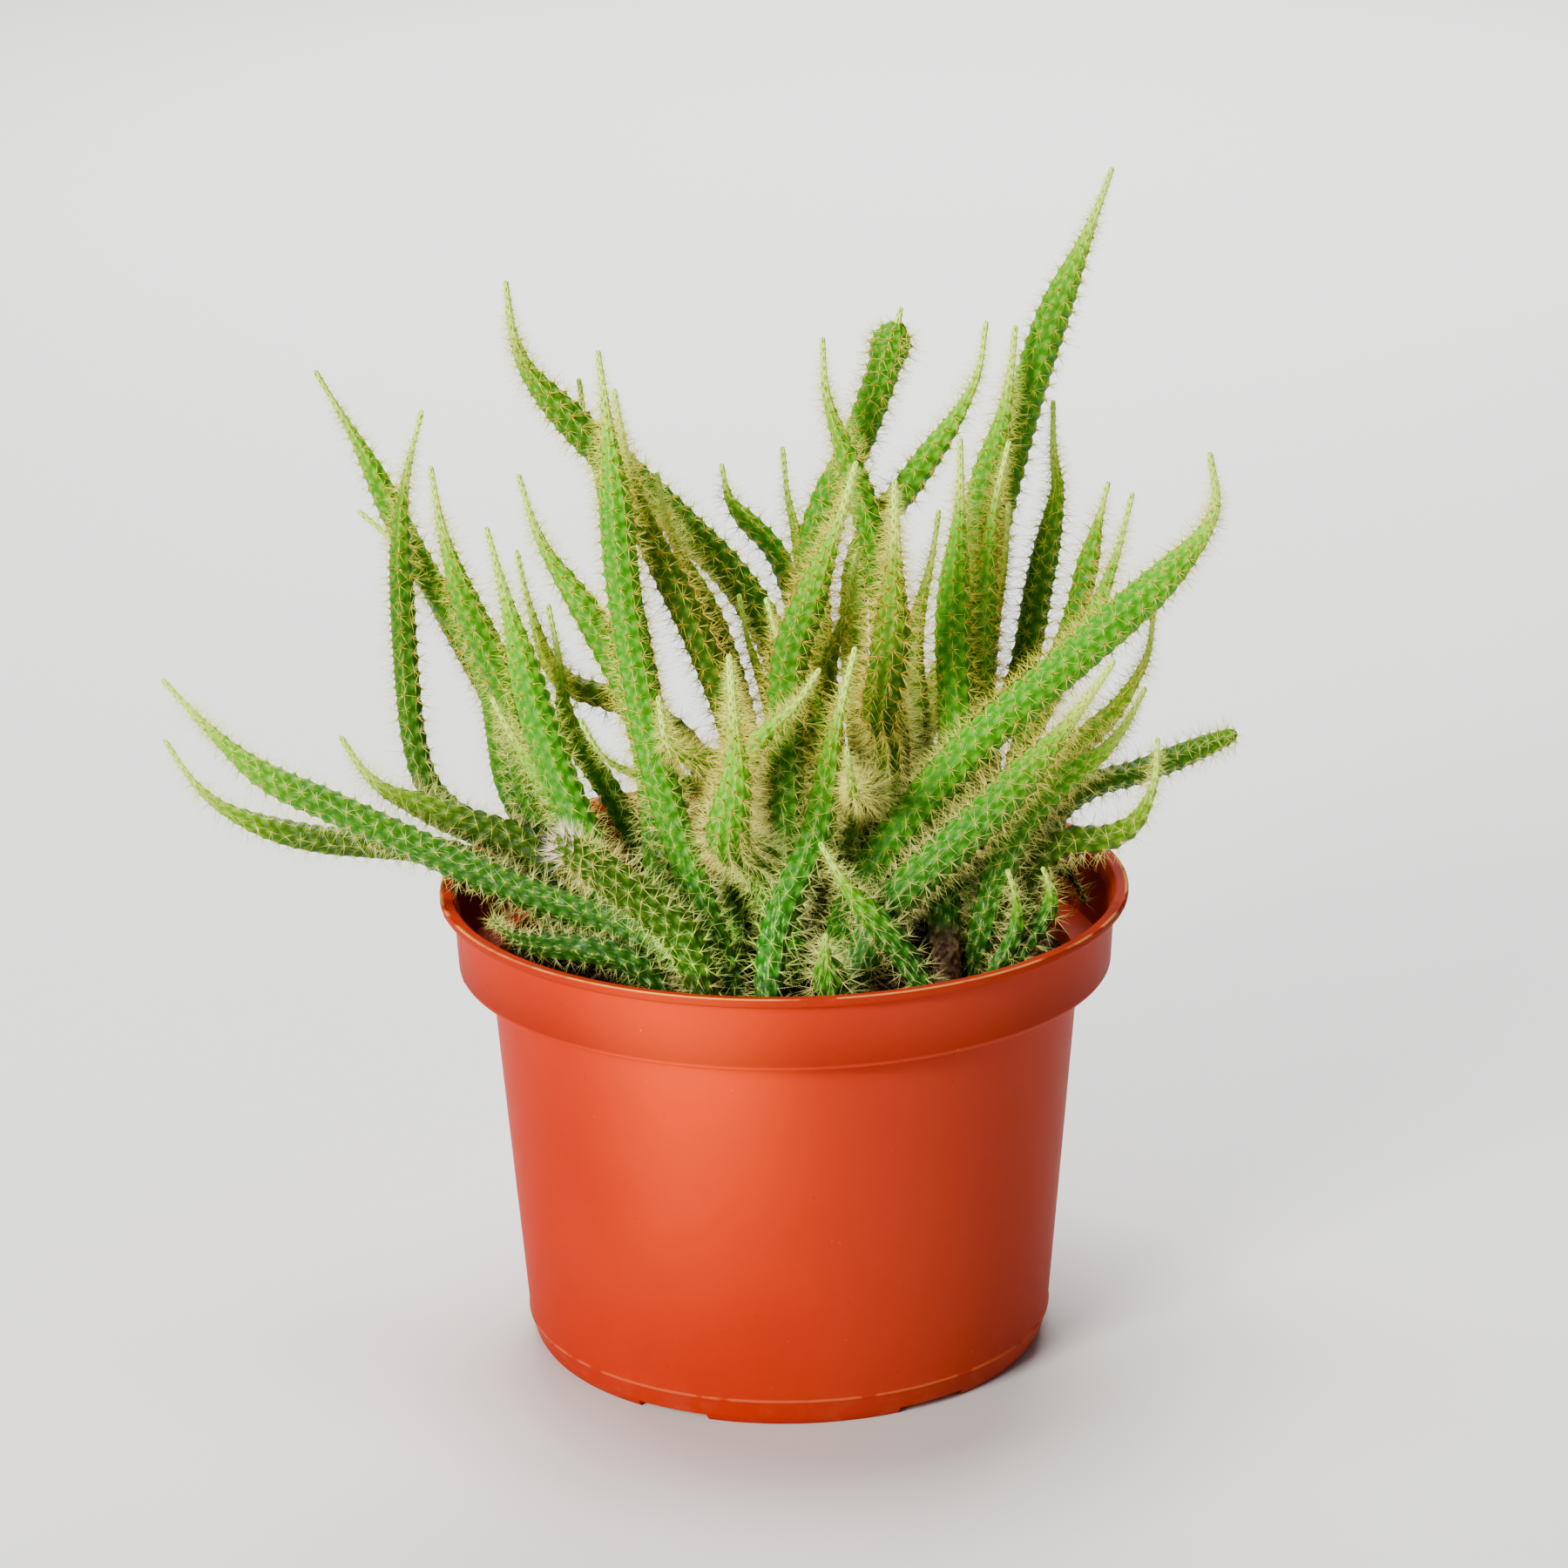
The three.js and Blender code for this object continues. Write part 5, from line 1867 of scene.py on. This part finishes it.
@dataclass
class Soil:
    """Dark potting soil with bark chips on it."""

    shape: PotShape = field(default_factory=PotShape)
    clearance: float = 0.35
    edge_height: float = 86.5
    middle_height: float = 90.3
    crumb_edge: float = 0.06
    rings: int = 60
    ring_power: float = 0.85
    side_heights: tuple[float, float] = (60.0, 30.0)
    foot_bevel: tuple[float, float] = (2.0, 6.0)
    segments: int = 144
    chips: int = 520
    chip_margin: float = 4.5
    smallest_chip: Place = (0.9, 0.6, 0.3)
    largest_chip: Place = (3.2, 1.5, 0.8)
    chip_scale: tuple[float, float] = (0.5, 1.0)
    chip_roughness: tuple[float, float] = (0.75, 1.25)
    chip_tilt: float = 0.6
    chip_lift: float = 0.25
    seed: int = 7

    def top_height(self, x: np.ndarray, y: np.ndarray) -> np.ndarray:
        """Height of the soil's top: a low mound plus crossed sines of three sizes for crumbs.

        Args:
            x: how far to the right.
            y: how far to the back.

        Returns:
            The height.
        """
        reach = np.hypot(x, y) / (self.shape.body_radius(self.edge_height) - self.shape.wall)
        mound = self.edge_height + (self.middle_height - self.edge_height) * (1 - reach**4)
        crumbs = 0.45 * np.sin(0.31 * x + 1.0) * np.cos(0.27 * y)
        crumbs += 0.35 * np.sin(0.9 * x + 0.6 * y) * np.cos(0.8 * y - 0.5 * x)
        crumbs += 0.22 * np.sin(2.3 * x - 1.1 * y) * np.sin(1.9 * y + 0.8 * x)
        return mound + crumbs * smoothstep((1.0 - reach) / self.crumb_edge)

    def body(self) -> Patch:
        """The soil as a closed turned body with its top raised by top_height.

        Returns:
            The body.
        """
        shape = self.shape
        floor = shape.floor_height + shape.floor_thickness + self.clearance
        gap = shape.wall + self.clearance
        edge = shape.body_radius(self.edge_height) - gap
        radii = edge * np.linspace(0.0, 1.0, self.rings) ** self.ring_power
        inset, rise = self.foot_bevel
        top = [(r, self.edge_height) for r in radii]
        side = [(shape.body_radius(z) - gap, z) for z in (*self.side_heights, floor + rise)]
        foot = [(shape.body_radius(floor) - gap - inset, floor), (0.0, floor)]
        grid, _, faces = turned(np.array([*top, *side, *foot]), self.segments)
        x, y = grid[: self.rings, :, 0], grid[: self.rings, :, 1]
        grid[: self.rings, :, 2] = self.top_height(x, y)
        return with_poles(grid.reshape(-1, 3), faces, self.segments)

    @staticmethod
    def spun(a: np.ndarray, b: np.ndarray, angle: np.ndarray) -> tuple[np.ndarray, np.ndarray]:
        """Two coordinates turned by each row's angle, from the first towards the second."""
        cos, sin = np.cos(angle)[:, None], np.sin(angle)[:, None]
        return a * cos - b * sin, a * sin + b * cos

    def chip_mesh(self) -> Patch:
        """Bark chips: a ball of 20 faces stretched, roughened and turned at random for each.

        Returns:
            All the chips.
        """
        draw = np.random.default_rng(self.seed)
        ball = bmesh.new()
        bmesh.ops.create_icosphere(ball, subdivisions=1, radius=1.0)
        base = np.array([v.co for v in ball.verts])
        faces = np.array([[v.index for v in f.verts] for f in ball.faces])
        ball.free()
        n = self.chips
        widest = self.shape.body_radius(self.edge_height) - self.chip_margin
        reach = widest * np.sqrt(draw.uniform(0, 1, n))
        angle = draw.uniform(0, 2 * np.pi, n)
        middle_x, middle_y = reach * np.cos(angle), reach * np.sin(angle)
        size = draw.uniform(self.smallest_chip, self.largest_chip, (n, 3))
        size *= draw.uniform(*self.chip_scale, (n, 1))
        points = base[None] * size[:, None]
        points = points * draw.uniform(*self.chip_roughness, (n, len(base), 1))
        tilt = draw.uniform(-self.chip_tilt, self.chip_tilt, n)
        turn = draw.uniform(0, 2 * np.pi, n)
        x, z = self.spun(points[..., 0], points[..., 2], tilt)
        x, y = self.spun(x, points[..., 1], turn)
        lift = self.top_height(middle_x, middle_y) + self.chip_lift * size[:, 2]
        middle = np.stack([middle_x, middle_y, lift], -1)
        placed = np.stack([x, y, z], -1) + middle[:, None]
        all_faces = (faces[None] + len(base) * np.arange(n)[:, None, None]).reshape(-1, 3)
        shade = np.repeat(draw.uniform(0, 1, n), len(base))
        return Patch(placed.reshape(-1, 3), all_faces, 1, values={"shade": shade}, smooth=False)

    def build(self) -> None:
        """Builds the soil with its chips and puts it in place of its solid."""
        patches = facing_out([self.body()]) + facing_out([self.chip_mesh()])
        finishes = [PEAT.material(), ChipFinish().material()]
        place_piece(make_piece("potting_soil", patches, finishes), "soil", "soil")


# ---- Studio -----------------------------------------------------------------------------------


def stand(
    data: bpy.types.Light | bpy.types.Camera, axes: list[np.ndarray], place: Place
) -> bpy.types.Object:
    """Puts a light or a camera into the scene.

    Args:
        data: the light or camera.
        axes: where its own right, up and back point.
        place: where it stands.

    Returns:
        The object.
    """
    thing = bpy.data.objects.new(data.name, data)
    columns = np.column_stack([*axes, np.array(place) * MM])
    thing.matrix_world = Matrix([*columns.tolist(), [0, 0, 0, 1]])
    bpy.context.scene.collection.objects.link(thing)
    return thing


@dataclass(frozen=True)
class Lamp:
    """A square soft light or, where it has an angle in degrees, a beam that fades to its edge.

    Its power is in watts. Its size is a square's side and a beam's radius, in mm.
    """

    name: str
    place: Place
    power: float
    tint: Colour
    size: float
    target: Place = (0.0, 0.0, 110.0)
    angle: float = 0.0

    def build(self) -> None:
        """Makes the light and turns it to face its target."""
        light = bpy.data.lights.new(self.name, "SPOT" if self.angle else "AREA")
        light.energy = self.power
        light.color = self.tint
        if self.angle:
            light.spot_size = math.radians(self.angle)
            light.spot_blend = 1.0
            light.shadow_soft_size = self.size * MM
        else:
            light.size = self.size * MM
        back = unit(np.array(self.place) - np.array(self.target))
        right = unit(np.cross([0.0, 0.0, 1.0], back))
        stand(light, [right, np.cross(back, right), back], self.place)


@dataclass
class Studio:
    """Pale floor, soft lights and the camera."""

    floor_reach: float = 6000.0
    floor_tones: tuple[Colour, Colour] = ((0.80, 0.80, 0.79), (0.82, 0.82, 0.81))
    sky_tint: Colour = (0.93, 0.95, 1.0)
    sky_strength: float = 0.12
    camera_place: Place = (0.05, -1062.3, 470.5)
    pitch: float = -17.76
    yaw: float = 0.012
    roll: float = -0.71
    lens: float = 114.4
    sensor: float = 36.0
    farthest: float = 50.0

    def floor(self) -> None:
        """A wide pale floor, which isn't part of the object."""
        sheet = NodeSheet("studio_floor")
        grey = sheet.blend(*self.floor_tones, sheet.noise(2.0, 1.0))
        material = sheet.surface(grey, roughness=0.9)
        corners = np.array([[-1.0, -1.0, 0.0], [1.0, -1.0, 0.0], [1.0, 1.0, 0.0], [-1.0, 1.0, 0.0]])
        patch = Patch(corners * self.floor_reach, np.array([[0, 1, 2, 3]]))
        make_piece("studio_floor", [patch], [material])

    def lights(self) -> None:
        """A soft key and a beam from the upper left, glints, and lights overhead and behind.

        The three glints fall one below the other on the front of the pot. The one behind
        lights the floor there. The sky is dim.
        """
        glint_place, glint_tint = (-420.0, -1100.0, 260.0), (0.5, 1.0, 0.1)
        glints = [
            Lamp("glint", glint_place, power, glint_tint, 14.0, (-22.0, -66.0, height), 2.8)
            for height, power in ((100.0, 130.0), (78.0, 110.0), (52.0, 70.0))
        ]
        lamps = [
            Lamp("key", (-760.0, -1120.0, 640.0), 29.5, (1.0, 0.97, 0.90), 520.0),
            Lamp(
                "beam", (-880.0, -1040.0, 640.0), 96.0, (1.0, 0.97, 0.88), 120.0,
                (0.0, 0.0, 198.0), 16.0,
            ),
            *glints,
            Lamp("overhead", (-150.0, 250.0, 1500.0), 28.0, (1.0, 1.0, 1.0), 700.0),
            Lamp(
                "backdrop", (100.0, 1700.0, 1300.0), 62.0, (1.0, 0.99, 0.97), 1200.0,
                (100.0, 1500.0, 0.0),
            ),
        ]
        for lamp in lamps:
            lamp.build()
        world = bpy.data.worlds.new("studio_sky")
        world.use_nodes = True
        sky = world.node_tree.nodes["Background"]
        sky.inputs["Color"].default_value = (*self.sky_tint, 1.0)
        sky.inputs["Strength"].default_value = self.sky_strength
        bpy.context.scene.world = world

    def camera(self) -> None:
        """The camera, aimed by pitch and yaw and then rolled about its own axis."""
        pitch, yaw, roll = (math.radians(a) for a in (self.pitch, self.yaw, self.roll))
        level = math.cos(pitch)
        forward = np.array([math.sin(yaw) * level, math.cos(yaw) * level, math.sin(pitch)])
        right = unit(np.cross(forward, [0.0, 0.0, 1.0]))
        up = np.cross(right, forward)
        rolled_right = right * math.cos(roll) + up * math.sin(roll)
        rolled_up = -right * math.sin(roll) + up * math.cos(roll)
        data = bpy.data.cameras.new("camera")
        data.sensor_width = self.sensor
        data.lens = self.lens
        data.clip_end = self.farthest
        axes = [rolled_right, rolled_up, -forward]
        bpy.context.scene.camera = stand(data, axes, self.camera_place)

    def build(self) -> None:
        """Builds the studio."""
        self.floor()
        self.lights()
        self.camera()


def main() -> None:
    """Builds everything in order."""
    Pot().build()
    Soil().build()
    OldWood().build()
    Plant().build()
    Studio().build()
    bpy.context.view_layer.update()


if __name__ == "__main__":
    main()
